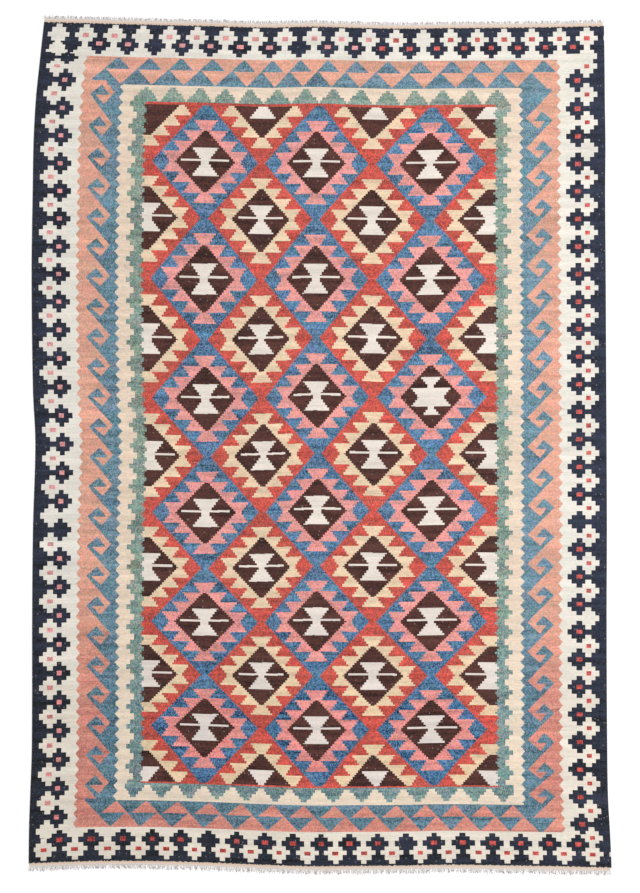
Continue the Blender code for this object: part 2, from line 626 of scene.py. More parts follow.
@dataclass(frozen=True)
class HookBorder:
    """The salmon border with rows of blue hooks."""

    salmon_line: float = 46.5
    blue_line: float = 84.5
    outer_notches: Notches = Notches(-1.5, 5.3, 0.75, 2.0)
    corner_notches: Notches = Notches(0.0, 5.0, 0.8, 2.0)
    left_inner_notches: Notches = Notches(62.0, 5.15, 0.85, 2.1)
    right_inner_notches: Notches = Notches(62.5, 4.72, 0.85, 2.1)
    # Where a few of the hooks stand, in steps or warps, and which hook each is
    left_hooks: Table = ((70, 0), (133, 2), (403, 11), (552, 16), (761, 23))
    right_hooks: Table = ((63, -1), (209, 4), (362, 9), (567, 16), (743, 22), (768, 23))
    far_hooks: Table = ((78, 0), (207, 4), (321, 8), (418, 11), (511, 14))
    near_hooks: Table = ((55, -1), (85, 0), (240, 5), (361, 9), (476, 13))

    # A side hook, measured inwards and onwards from its outer tip
    left_tip: float = 54.5
    right_tip: float = 53.0
    side_pitch: float = 29.6
    side_lead: float = 9.6
    left_steepness: float = 0.84
    right_steepness: float = 0.96
    left_back: Slant = (-0.8, 21.5)
    right_back: Slant = (-1.1, 23.9)
    left_tail: Slant = (1.06, 4.5)
    right_tail: Slant = (0.7, 7.3)
    left_bend: float = -2.6
    right_bend: float = -1.6
    peak_front: Slant = (-1.12, 0.0)
    peak_back: Slant = (0.85, 18.0)
    peak_from: float = -9.0
    block_front: Slant = (-0.97, 0.0)
    hollow_from: float = 0.6
    hollow_to: float = 8.8
    hollow_mouth: float = 17.4

    # A far hook, measured across and down from the row's first step
    far_pitch: float = 30.4
    far_step: float = 35.0
    far_left: Slant = (-0.97, -2.2)
    far_right: Slant = (1.03, 2.2)
    far_lip: float = -1.2
    far_bend: float = 10.1
    far_drop: float = 20.2
    far_last: float = 14.0
    far_corner: Slant = slant_through(-0.97, 66.0, 53.3)
    short_depth: float = 70.0
    short_step: float = 56.7
    short_edge: Slant = slant_through(0.84, 40.0, 54.5)
    far_cream_step: float = 60.0
    far_ivory_step: float = 33.0

    # A near hook, measured across and down from the row's first step
    near_pitch: float = 29.6
    near_step: float = 778.0
    near_edge: Slant = (0.9125, 1.59)
    near_peak: Slant = (-1.15, 0.0)
    near_below: Slant = (-1.05, 22.6)
    near_bend: float = 11.5
    near_foot: float = 25.0
    near_corner_warp: float = 493.0
    near_corner: Slant = slant_through(1.087, 768.5, 53.0)
    low_block_left: Slant = slant_through(0.9125, 779.0, 478.5)
    low_block_right: Slant = slant_through(-0.95, 792.0, 517.0)
    near_cream_step: float = 776.8
    near_ivory_step: float = 804.2

    def side_hook(self, x: Reading, y: Reading, plain: Reading, right: Reading) -> Reading:
        """Mask of one blue hook of the side borders.

        Args:
            x: Distance inwards from the hook's outer tip.
            y: Distance past the tip, from minus the lead to a pitch less.
            plain: Mask of the hook that is only a block.
            right: Mask of the right side, where the slopes are steeper.

        Returns:
            The mask.
        """
        back = right.pick(y.scaled(*self.right_back), y.scaled(*self.left_back))
        tail = right.pick(y.scaled(*self.right_tail), y.scaled(*self.left_tail))
        steepness = right.pick(self.right_steepness, self.left_steepness)
        slope = y * steepness
        bent = y < right.pick(self.right_bend, self.left_bend)
        above = bent.pick(slope + steepness * self.side_pitch, back)
        peak = (x > y.scaled(*self.peak_front)) & (x < y.scaled(*self.peak_back)) & (y > self.peak_from)
        block = plain.pick(x > y.scaled(*self.block_front), (x > above) | peak)
        hollow = ((y > self.hollow_from) | (x > self.hollow_mouth)) & (y < self.hollow_to)
        hollow = hollow & (x > tail) & (x < back) & ~plain
        return (y < 0.0).pick(block, (x > slope) & ~hollow)

    def side(self, at: Place) -> Reading:
        """Dye of the hooks down the left and right sides.

        Args:
            at: Place on the chart.

        Returns:
            The dye's number.
        """
        count = at.right.pick(
            at.step.repeats(self.right_hooks, STEPS), at.step.repeats(self.left_hooks, STEPS)
        ).scaled(1.0, self.side_lead / self.side_pitch)
        y = count.fract().scaled(self.side_pitch, -self.side_lead)
        plain = at.right & (count < 0.0)
        x = at.depth - at.right.pick(self.right_tip, self.left_tip)
        dye = self.side_hook(x, y, plain, at.right).pick(Dye.BORDER_BLUE, Dye.SALMON)
        ivory = at.depth < self.outer_notches.line(at.step, self.salmon_line)
        inner = at.right.pick(
            self.right_inner_notches.line(at.step, self.blue_line),
            self.left_inner_notches.line(at.step, self.blue_line),
        )
        return (at.depth > inner).pick(Dye.CREAM, ivory.pick(Dye.IVORY, dye))

    def end_frame(self, at: Place, blue: Reading, cream: Reading, ivory: Reading) -> Reading:
        """Put a row of hooks at an end between the ivory outside and the cream inside.

        Args:
            at: Place on the chart.
            blue: Mask of the blue hooks.
            cream: Mask of the steps where the cream shows, past the side borders.
            ivory: Mask of the steps that are ivory from side to side.

        Returns:
            The dye.
        """
        dye = blue.pick(Dye.BORDER_BLUE, Dye.SALMON)
        dye = (cream & (at.depth > self.blue_line)).pick(Dye.CREAM, dye)
        ivory = ivory | (at.depth < self.corner_notches.line(at.step, self.salmon_line))
        return ivory.pick(Dye.IVORY, dye)

    def far(self, at: Place) -> Reading:
        """Dye of the hooks along the far end.

        Args:
            at: Place on the chart.

        Returns:
            The dye's number.
        """
        v = at.step - self.far_step
        count = at.warp.repeats(self.far_hooks, WARPS).scaled(1.0, 0.5)
        u = (count.fract() - 0.5) * self.far_pitch
        started = count > 0.0
        left = (u > v.scaled(*self.far_left)) & (v > self.far_lip)
        peak = u < v.scaled(*self.far_right)
        next_left = (u - self.far_pitch) > v.scaled(*self.far_left)
        low = (left & (u < v - self.far_drop) & started) | next_left
        upper = v < self.far_bend
        blue = upper.pick(left & peak & started, low)
        # The last hook fills the corner, and the first one ends short
        corner = left & upper.pick(peak, at.depth > at.step.scaled(*self.far_corner))
        blue = (count > self.far_last).pick(corner & (count < self.far_last + 1.0), blue)
        short = ~at.right & (at.depth < self.short_depth) & (at.step > self.short_step)
        blue = short.pick(at.depth > at.step.scaled(*self.short_edge), blue)
        return self.end_frame(at, blue, at.step > self.far_cream_step, at.step < self.far_ivory_step)

    def near(self, at: Place) -> Reading:
        """Dye of the hooks along the near end.

        Args:
            at: Place on the chart.

        Returns:
            The dye's number.
        """
        v = at.step - self.near_step
        count = at.warp.repeats(self.near_hooks, WARPS).scaled(1.0, 0.5)
        u = (count.fract() - 0.5) * self.near_pitch
        before = count < 0.0
        edge = v.scaled(*self.near_edge)
        peak = (u > v.scaled(*self.near_peak)) | before
        below = (u > v.scaled(*self.near_below)) | before
        upper = v < self.near_bend
        salmon = upper.pick(peak & (u < edge), (below & (u < edge)) | ((u + self.near_pitch) < edge))
        salmon = (salmon & ((v > 0.0) | before)) | (v > self.near_foot)
        # In the right corner the last side hook comes down into the row, with one low block under it
        slope = at.depth > at.step.scaled(*self.near_corner)
        low = at.warp > at.step.scaled(*self.low_block_left)
        low = low & (at.warp < at.step.scaled(*self.low_block_right))
        blue = (at.warp > self.near_corner_warp).pick(upper.pick(slope, low), ~salmon)
        return self.end_frame(at, blue, at.step < self.near_cream_step, at.step > self.near_ivory_step)


@dataclass(frozen=True)
class Guard:
    """The narrow cream stripe with green teeth that frames the field."""

    # Half-width of a tooth, in steps or warps, by its depth, its step or its rise from the near base
    side_stairs: Table = ((60, 0), (94, 2.3), (98, 7), (102, 12))
    far_stairs: Table = ((40, 0), (62, 2.6), (64.6, 5), (67.2, 7.6), (69.8, 10.2), (73, 11.7), (75.3, 15))
    near_stairs: Table = ((0, 0), (2.2, 2.8), (5.4, 5.6), (8.6, 8.6), (11.8, 11), (15.2, 16))
    # Where a few of the teeth stand, in steps or warps, and which tooth each is
    left_teeth: Table = ((101, 0), (213, 5), (360, 12), (503, 19), (763, 32))
    far_teeth: Table = ((110, 0), (165, 2), (215, 4), (299, 7), (464, 13))
    near_teeth: Table = ((103, 0), (186, 3), (300, 7), (467, 13))
    right_teeth: Table = ((81, 0), (223, 7), (425, 17), (604, 26), (745, 33))
    side_pitch: float = 20.2
    far_pitch: float = 26.8
    near_pitch: float = 28.0
    # The teeth of each edge keep to their own part of the stripe
    side_depth: float = 112.5
    side_first_step: float = 70.0
    side_last_step: float = 768.0
    end_depth: float = 95.0
    far_last_step: float = 78.0
    near_first_step: float = 757.0
    near_base_step: float = 776.5

    def off_centre(self, count: Reading, pitch: float) -> Reading:
        """Distance from the nearest tooth's centre line."""
        return (count.scaled(1.0, 0.5).fract() - 0.5).absolute() * pitch

    def teeth(self, at: Place) -> Reading:
        """Mask of the green teeth.

        Args:
            at: Place on the chart.

        Returns:
            The mask.
        """
        count = at.right.pick(
            at.step.repeats(self.right_teeth, STEPS), at.step.repeats(self.left_teeth, STEPS)
        )
        sides = self.off_centre(count, self.side_pitch) < at.depth.stairs(self.side_stairs)
        sides = sides & (at.depth < self.side_depth)
        sides = sides & (at.step > self.side_first_step) & (at.step < self.side_last_step)
        across = self.off_centre(at.warp.repeats(self.far_teeth, WARPS), self.far_pitch)
        far = (across < at.step.stairs(self.far_stairs)) & (at.step < self.far_last_step)
        across = self.off_centre(at.warp.repeats(self.near_teeth, WARPS), self.near_pitch)
        near = across < (self.near_base_step - at.step).stairs(self.near_stairs)
        near = near & (at.step > self.near_first_step)
        return sides | ((far | near) & (at.depth > self.end_depth))

    def dye(self, at: Place) -> Reading:
        """Dye of the stripe."""
        return self.teeth(at).pick(Dye.GREEN, Dye.CREAM)


@dataclass(frozen=True)
class Field:
    """The middle: stepped diamonds in red and in blue, each with a brown middle and an hourglass."""

    first_row: float = 76.2
    last_row: float = 759.5
    pitch_x: float = 113.5
    pitch_y: float = 113.25
    centre_x: float = 285.75
    centre_y: float = 135.125
    first_column: float = 116.0
    last_column: float = 455.5
    # A blue diamond's outline and each diamond's brown middle, as half-widths by distance from its row
    blue_edge: Slant = (-50.0 / 57.0, 53.2)
    brown_edge: Slant = (-0.91, 30.0)
    brown_rise: float = 31.0
    # The teeth of the rim: how tall each is, how far they reach by their number, and how they lean
    tooth_rise: float = 10.4
    blue_reach: Slant = (-10.2, 35.0)
    red_reach: Slant = (-10.1, 34.2)
    tooth_lean: float = 7.3
    teeth_to: float = 41.5
    # The hourglass, and the plainer ones where an end of the field cuts a diamond
    glass_edge: Slant = (0.76, 3.6)
    glass_waist: float = 1.5
    glass_rise: float = 14.2
    foot_edge: Slant = (0.75, 2.0)
    foot_rise: float = 15.0
    top_edge: Slant = (0.8, 4.0)
    top_rise: float = 12.0
    top_step: float = 95.0
    foot_step: float = 740.0
    top_first_warp: float = 140.0
    bar_rise: float = 1.7
    bar_half_height: float = 1.05
    bar_half_width: float = 23.8
    star_x: float = 399.25
    star_y: float = 361.6
    star_reach: float = 28.0
    star_body: Slant = (0.8, 12.0)
    star_body_rise: float = 9.0
    star_horn: Slant = (0.85, 2.3)
    star_horn_from: float = 10.5
    star_half_height: float = 18.5
    star_raise: float = 1.0
    # The rows were beaten looser past the middle, by this many steps at the left, middle and right
    left_slack: float = 13.0
    middle_slack: float = 7.0
    right_slack: float = 8.0
    slack_step: float = 455.0
    slack_reach: float = 250.0
    left_warp: float = 171.0
    middle_warp: float = 283.0
    rows_apart: float = 112.0

    def off_centre(self, along: Reading, pitch: float) -> Reading:
        """Distance from the nearest centre of a row of diamonds."""
        return ((along * (1.0 / pitch)).scaled(1.0, 0.5).fract() - 0.5).absolute() * pitch

    def even_step(self, at: Place) -> Reading:
        """Steps from the far end as they would be, had every row of diamonds been woven equally tall.

        Args:
            at: Place on the chart.

        Returns:
            The evened step.
        """
        share = 1.0 / self.rows_apart
        first = at.warp.scaled(share, -self.left_warp * share).most(0.0).least(1.0)
        second = at.warp.scaled(share, -self.middle_warp * share).most(0.0).least(1.0)
        slack = first * (self.middle_slack - self.left_slack) + self.left_slack
        slack = slack + second * (self.right_slack - self.middle_slack)
        off = (at.step - self.slack_step) * (1.0 / self.slack_reach)
        return at.step - slack * (1.0 - off * off).most(0.0)

    def star(self, x: Reading, down: Reading) -> Reading:
        """Mask of the one star that stands in place of an hourglass.

        Args:
            x: Distance from its centre line.
            down: Distance below its centre.

        Returns:
            The mask.
        """
        y = down.absolute()
        body = (x < y.scaled(*self.star_body)) & (y < self.star_body_rise)
        horns = x < (y - self.star_horn_from).most(0.0).scaled(*self.star_horn)
        return (body | horns) & ((down + self.star_raise).absolute() < self.star_half_height)

    def hourglass(self, at: Place, blue: Reading, x: Reading, y: Reading) -> Reading:
        """Mask of the hourglass of each diamond and its bar.

        Args:
            at: Place on the chart.
            blue: Mask of the blue diamonds.
            x: Distance from the diamond's centre line.
            y: Distance from its row.

        Returns:
            The mask.
        """
        at_top, at_foot = at.step < self.top_step, at.step > self.foot_step
        top, foot = at_top & ~blue, at_foot & ~blue
        waist = (y - self.glass_waist).most(0.0)
        glass = (x < waist.scaled(*self.glass_edge)) & (y < self.glass_rise)
        glass = foot.pick((x < y.scaled(*self.foot_edge)) & (y < self.foot_rise), glass)
        glass = top.pick((x < y.scaled(*self.top_edge)) & (y < self.top_rise), glass)
        raised = self.off_centre(at.step + self.bar_rise - self.centre_y, self.pitch_y)
        bar = blue.pick(raised, self.pitch_y / 2 - raised) < self.bar_half_height
        bar = bar & (x < self.bar_half_width) & ~(top | foot)
        return (glass | bar) & ~(at_top & (at.warp < self.top_first_warp))

    def dye(self, at: Place) -> Reading:
        """Dye of the field.

        Args:
            at: Place on the chart.

        Returns:
            The dye's number.
        """
        at = Place(at.warp, self.even_step(at), at.depth, at.right)
        across = at.warp.most(self.first_column).least(self.last_column)
        ax = self.off_centre(across - self.centre_x, self.pitch_x)
        ay = self.off_centre(at.step - self.centre_y, self.pitch_y)
        blue = ax < ay.scaled(*self.blue_edge)
        x = blue.pick(ax, self.pitch_x / 2 - ax)
        y = blue.pick(ay, self.pitch_y / 2 - ay)
        teeth = y * (1.0 / self.tooth_rise)
        number = teeth.floor()
        reach = blue.pick(number.scaled(*self.blue_reach), number.scaled(*self.red_reach))
        rim = (x < reach + teeth.fract() * self.tooth_lean) & (y < self.teeth_to)
        dye = rim.pick(blue.pick(Dye.PINK, Dye.YELLOW), blue.pick(Dye.FIELD_BLUE, Dye.RED))
        brown = (x < y.scaled(*self.brown_edge)) & (y < self.brown_rise)
        dye = brown.pick(Dye.BROWN, dye)
        down = at.step - self.star_y
        starred = (at.warp - self.star_x).absolute() < self.star_reach
        starred = starred & (down.absolute() < self.star_reach)
        white = starred.pick(self.star(ax, down), self.hourglass(at, blue, x, y))
        return (white & brown).pick(Dye.WHITE, dye)


@dataclass(frozen=True)
class Centre:
    """The field with its red lines and the guard stripe around it."""

    guard: Guard = field(default_factory=Guard)
    field: Field = field(default_factory=Field)
    notches: Notches = Notches(0.0, 5.0, 0.7, 1.75)
    first_red_to: float = 78.3
    last_red_from: float = 757.8

    def dye(self, at: Place) -> Reading:
        """Dye of everything inside the hook border.

        Args:
            at: Place on the chart.

        Returns:
            The dye's number.
        """
        inside = at.depth > self.notches.line(at.step, FIELD_DEPTH)
        inside = inside & (at.step > self.field.first_row) & (at.step < self.field.last_row)
        red_line = (at.step < self.first_red_to) | (at.step > self.last_red_from)
        return inside.pick(red_line.pick(Dye.RED, self.field.dye(at)), self.guard.dye(at))


class Zone(Enum):
    """The parts of the cloth, each with a chart of its own."""

    FAR_CROSSES = "far_crosses"
    NEAR_CROSSES = "near_crosses"
    SIDE_CROSSES = "side_crosses"
    FAR_HOOKS = "far_hooks"
    NEAR_HOOKS = "near_hooks"
    SIDE_HOOKS = "side_hooks"
    CENTRE = "centre"


@dataclass(frozen=True)
class Chart:
    """The whole pattern, and where one zone ends and the next begins."""

    crosses: CrossBorder = field(default_factory=CrossBorder)
    hooks: HookBorder = field(default_factory=HookBorder)
    centre: Centre = field(default_factory=Centre)
    crosses_depth: float = 42.0
    hooks_depth: float = 90.0
    far_crosses_step: float = 32.0
    far_hooks_step: float = 61.0
    near_hooks_step: float = 775.0
    near_crosses_step: float = 805.5

    def place(self, zone: Zone, warp: Reading, step: Reading) -> Place:
        """Round a place to the warps that turn together, and to half steps.

        Args:
            zone: The zone. In the middle the weft turns round two warps at a time.
            warp: Warps from the left edge.
            step: Steps from the far end.

        Returns:
            The rounded place.
        """
        if zone is Zone.CENTRE:
            warp = (warp * 0.5).floor().scaled(2.0, 1.0)
        else:
            warp = warp.floor().scaled(1.0, 0.5)
        step = step.scaled(2.0, 0.0).floor().scaled(0.5, 0.25)
        return Place(warp, step, warp.least(WARPS - warp), warp > MIDDLE_WARP)

    def dye(self, zone: Zone, at: Place) -> Reading:
        """Dye at a place.

        Args:
            zone: The zone that the place is in.
            at: The place.

        Returns:
            The dye's number.
        """
        charts = {
            Zone.FAR_CROSSES: self.crosses.far,
            Zone.NEAR_CROSSES: self.crosses.near,
            Zone.SIDE_CROSSES: self.crosses.side,
            Zone.FAR_HOOKS: self.hooks.far,
            Zone.NEAR_HOOKS: self.hooks.near,
            Zone.SIDE_HOOKS: self.hooks.side,
            Zone.CENTRE: self.centre.dye,
        }
        return charts[zone](at)

    def zone(self, warp: float, step: float) -> Zone:
        """Zone of a place.

        Args:
            warp: Warps from the left edge.
            step: Steps from the far end.

        Returns:
            The zone.
        """
        depth = min(warp, WARPS - warp)
        if step < self.far_crosses_step:
            return Zone.FAR_CROSSES
        if step > self.near_crosses_step:
            return Zone.NEAR_CROSSES
        if depth < self.crosses_depth:
            return Zone.SIDE_CROSSES
        if step < self.far_hooks_step:
            return Zone.FAR_HOOKS
        if step > self.near_hooks_step:
            return Zone.NEAR_HOOKS
        return Zone.SIDE_HOOKS if depth < self.hooks_depth else Zone.CENTRE


# ---------------------------------------------------------------------------------------------
# Finishes
# ---------------------------------------------------------------------------------------------


def linear(red: int, green: int, blue: int) -> tuple[float, float, float, float]:
    """Turn a dyer's 0 to 255 colour into the renderer's linear one.

    Args:
        red: Red.
        green: Green.
        blue: Blue.

    Returns:
        The linear colour with full alpha.
    """
    parts = [part / 255 for part in (red, green, blue)]
    straight = [p / 12.92 if p <= 0.04045 else ((p + 0.055) / 1.055) ** 2.4 for p in parts]
    return (*straight, 1.0)


@dataclass(frozen=True)
class DyeLot:
    """One dye: its colour, its colour towards the near end, and how uneven it is.

    The colours were measured on the photograph by another program and rounded to fives. Spread is
    how far the darkest and lightest yarns part from the colour, and heather is how mixed the yarns
    are from bead to bead.
    """

    colour: tuple[int, int, int]
    near: tuple[int, int, int]
    spread: float
    heather: float

    def shade(self, light: float) -> tuple[float, ...]:
        """Linear colour of the yarn, times a brightness."""
        return tuple(part * light for part in linear(*self.colour)[:3])

    def shade_near(self) -> tuple[float, ...]:
        """Linear colour of the yarn at the near end."""
        return linear(*self.near)[:3]


DYE_LOTS: dict[Dye, DyeLot] = {
    Dye.NAVY: DyeLot((40, 45, 60), (30, 35, 45), 0.9, 0.4),
    Dye.IVORY: DyeLot((220, 215, 205), (215, 205, 190), 0.2, 0.1),
    Dye.SALMON: DyeLot((210, 155, 135), (190, 115, 105), 0.35, 0.35),
    Dye.BORDER_BLUE: DyeLot((100, 130, 145), (80, 110, 125), 0.6, 0.65),
    Dye.CREAM: DyeLot((220, 200, 180), (220, 205, 185), 0.25, 0.15),
    Dye.GREEN: DyeLot((125, 145, 135), (105, 130, 135), 0.5, 0.7),
    Dye.RED: DyeLot((185, 80, 70), (180, 75, 65), 0.5, 0.55),
    Dye.YELLOW: DyeLot((220, 195, 165), (215, 190, 155), 0.3, 0.2),
    Dye.BROWN: DyeLot((75, 45, 40), (70, 40, 35), 0.8, 0.4),
    Dye.FIELD_BLUE: DyeLot((80, 115, 145), (55, 95, 130), 0.75, 0.75),
    Dye.PINK: DyeLot((215, 145, 140), (210, 130, 125), 0.45, 0.4),
    Dye.WHITE: DyeLot((220, 210, 200), (210, 200, 195), 0.2, 0.05),
    Dye.MARK_PINK: DyeLot((210, 145, 145), (200, 125, 125), 0.45, 0.4),
    Dye.MARK_RED: DyeLot((180, 85, 80), (170, 65, 60), 0.7, 0.55),
}


def new_group(
    name: str, inputs: tuple[str, ...], outputs: tuple[tuple[str, str], ...]
) -> tuple[bpy.types.NodeTree, Board, dict[str, Reading]]:
    """Start a shader node group.

    Args:
        name: The group's name.
        inputs: Names of its number inputs.
        outputs: Names of its outputs, each with its socket type.

    Returns:
        The tree, its board, and the inputs as readings by name.
    """
    tree = bpy.data.node_groups.new(name, "ShaderNodeTree")
    for label in inputs:
        tree.interface.new_socket(name=label, in_out="INPUT", socket_type="NodeSocketFloat")
    for label, kind in outputs:
        tree.interface.new_socket(name=label, in_out="OUTPUT", socket_type=kind)
    board = Board(tree)
    entry = board.node("NodeGroupInput")
    return tree, board, {label: Reading(board, entry.outputs[label]) for label in inputs}


@dataclass(frozen=True)
class Grain:
    """A soft noise over the cloth: its fineness by warp, step and dye, and its octaves."""

    by_warp: float
    by_step: float
    by_dye: float
    detail: float

    def node(self, board: Board, warp: Reading, step: Reading, dye: Reading) -> bpy.types.Node:
        """Add the noise."""
        place = board.place(warp * self.by_warp, step * self.by_step, dye * self.by_dye)
        return board.noise_node(place, 1.0, self.detail)


@dataclass(frozen=True)
class DyedWool:
    """Colour of hand-dyed wool: flecks along the weft, bands of a fresh dye bath, and soft patches."""

    name: str = "dyed wool"
    # How strongly the shade moves with each noise, and how fine each noise is
    fleck: float = 0.85
    row: float = 0.6
    bath: float = 1.05
    patch: float = 0.5
    fleck_grain: Grain = Grain(0.28, 0.8, 3.1, 3.0)
    row_grain: Grain = Grain(0.03, 1.3, 4.7, 1.0)
    bath_grain: Grain = Grain(0.012, 0.16, 5.3, 2.0)
    patch_grain: Grain = Grain(0.035, 0.05, 1.7, 2.0)
    # Mixed wool: the shade and the hue of each bead, and how much less it shows flecks
    grain: float = 0.9
    hue: float = 0.44
    beads_per_step: float = 0.8
    fewer_flecks: float = 0.6
    # Over a hand's breadth the dye itself leans one way or another
    drift: float = 0.55
    drift_grain: Grain = Grain(0.03, 0.09, 2.3, 3.0)
    push: tuple[float, float, float] = (2.0, 0.7, 0.9)
    # Painted light: the right side is painted a little paler, as if more light fell on it
    painted_side_light: float = 0.14
    # Towards the near end each dye moves to its colour there, mostly a darker one
    toward_near_from_step: float = 560.0
    toward_near_steps: float = 180.0
    most_toward_near: float = 0.7
    speck_share: float = 0.006
    speck_strength: float = 0.25
    speck: tuple[int, int, int] = (206, 196, 186)
    ramp_slots: int = 16

    def build(self) -> bpy.types.NodeTree:
        """Make the group.

        Returns:
            The group, from Dye, Warp and Step to Colour.
        """
        tree, board, given = new_group(self.name, ("Dye", "Warp", "Step"), (("Colour", "NodeSocketColor"),))
        dye, warp, step = given["Dye"], given["Warp"], given["Step"]
        deep, pale, near = self._ramps(board, dye)
        bead_place = board.place(warp.floor(), (step * self.beads_per_step).floor(), 0.5)
        bead = board.fed("ShaderNodeTexWhiteNoise", {"Vector": bead_place}, noise_dimensions="3D")
        shade = Reading(board, bead.outputs["Value"])
        heather = Reading(board, deep.outputs["Alpha"])
        flecks, rows, baths, patches = (
            Reading(board, grain.node(board, warp, step, dye).outputs["Fac"])
            for grain in (self.fleck_grain, self.row_grain, self.bath_grain, self.patch_grain)
        )
        light = (shade - 0.5) * heather * self.grain
        light = light + (flecks - 0.5) * heather.scaled(-self.fewer_flecks, 1.0) * self.fleck
        light = light + (rows - 0.5) * self.row + (baths - 0.5) * self.bath
        # Painted light: the colour grows paler towards the right side
        light = light + (patches - 0.5) * self.patch + (warp * (1.0 / WARPS) - 0.5) * self.painted_side_light
        light = light.scaled(1.0, 0.5).most(0.0).least(1.0)
        deep, pale, near = (ramp.outputs["Color"] for ramp in (deep, pale, near))
        wool = board.blend(light, deep, pale)
        toward_near = ((step - self.toward_near_from_step) * (1.0 / self.toward_near_steps)).most(0.0).least(self.most_toward_near)
        shift = board.vectors("MULTIPLY_ADD", board.vectors("ADD", deep, pale), (-0.5, -0.5, -0.5), near)
        wool = board.vectors("MULTIPLY_ADD", shift, board.place(toward_near, toward_near, toward_near), wool)
        wool = self._tinted(board, wool, bead.outputs["Color"], heather * self.hue)
        lean = self.drift_grain.node(board, warp, step, dye).outputs["Color"]
        wool = self._tinted(board, wool, lean, heather * self.drift)
        specks = (shade < self.speck_share) * self.speck_strength
        board.fed("NodeGroupOutput", {"Colour": board.blend(specks, wool, linear(*self.speck))})
        return tree

    def _ramps(self, board: Board, dye: Reading) -> list[bpy.types.Node]:
        """Look a dye up in its three colours.

        Args:
            board: The group's board.
            dye: The dye's number.

        Returns:
            The ramps of the deep, pale and near colours, with the heather in each one's alpha.
        """
        lots = [DYE_LOTS[dye] for dye in Dye]
        deep = [lot.shade(1.0 - lot.spread) for lot in lots]
        pale = [lot.shade(1.0 + lot.spread) for lot in lots]
        near = [lot.shade_near() for lot in lots]
        slot = dye.scaled(1.0 / self.ramp_slots, 0.5 / self.ramp_slots)
        ramps = []
        for colours in (deep, pale, near):
            pairs = enumerate(zip(colours, lots))
            stops = [(number / self.ramp_slots, (*colour, lot.heather)) for number, (colour, lot) in pairs]
            ramps.append(board.colour_ramp(stops, smooth=False))
            board.feed(ramps[-1].inputs[0], slot)
        return ramps

    def _tinted(self, board: Board, wool: object, colour: object, share: object) -> bpy.types.NodeSocket:
        """Push the wool's red, and its green and blue a little, up and down by a random colour.

        Args:
            board: The group's board.
            wool: The wool's colour.
            colour: The random colour, 0.5 grey on average.
            share: How much of the push to take.

        Returns:
            The tinted wool.
        """
        even = tuple(1.0 - part / 2 for part in self.push)
        push = board.vectors("MULTIPLY_ADD", colour, self.push, even)
        return board.blend(share, wool, board.blend(1.0, wool, push, "MULTIPLY"))


@dataclass(frozen=True)
class Flatweave:
    """Relief of a weft-faced weave: a rib over each warp, beads where the weft goes over it."""

    name: str = "flatweave relief"
    beads_per_step: float = 2.5
    bead_share: float = 0.45
    fuzz_share: float = 0.35
    fuzz_per_warp: float = 1.7
    fuzz_per_step: float = 5.0

    def build(self) -> bpy.types.NodeTree:
        """Make the group.

        Returns:
            The group, from Warp and Step to Height.
        """
        tree, board, given = new_group(self.name, ("Warp", "Step"), (("Height", "NodeSocketFloat"),))
        warp, step = given["Warp"], given["Step"]
        across = warp.fract().scaled(2.0, -1.0)
        rib = 1.0 - across * across
        offset = (warp.floor() * 0.5).fract()
        along = (step * self.beads_per_step + offset).fract().scaled(2.0, -1.0)
        bead = (1.0 - along * along).scaled(self.bead_share, 1.0 - self.bead_share)
        fuzz = board.noise(board.place(warp * self.fuzz_per_warp, step * self.fuzz_per_step), 1.0, 2.0)
        board.fed("NodeGroupOutput", {"Height": rib * bead + fuzz * self.fuzz_share})
        return tree


@dataclass(frozen=True)
class Surface:
    """Settings of the shader that all the yarns share."""

    roughness: float = 0.93
    specular: float = 0.25
    sheen: float = 0.12
    sheen_roughness: float = 0.5

    def shader(self, board: Board, colour: object, normal: bpy.types.NodeSocket | None) -> None:
        """Add the shader and the output to a material.

        Args:
            board: The material's board.
            colour: The base colour.
            normal: A normal output, if the surface has relief.
        """
        inputs = {
            "Base Color": colour,
            "Roughness": self.roughness,
            "Specular IOR Level": self.specular,
            "Sheen Weight": self.sheen,
            "Sheen Roughness": self.sheen_roughness,
        }
        if normal is not None:
            inputs["Normal"] = normal
        principled = board.fed("ShaderNodeBsdfPrincipled", inputs)
        board.fed("ShaderNodeOutputMaterial", {"Surface": principled.outputs["BSDF"]})


def new_material(name: str) -> tuple[bpy.types.Material, Board]:
    """Start a material with an empty tree.

    Args:
        name: The material's name.

    Returns:
        The material and its board.
    """
    material = bpy.data.materials.new(name)
    material.use_nodes = True
    material.node_tree.nodes.clear()
    return material, Board(material.node_tree)


THREAD_MAP = "OFBake"


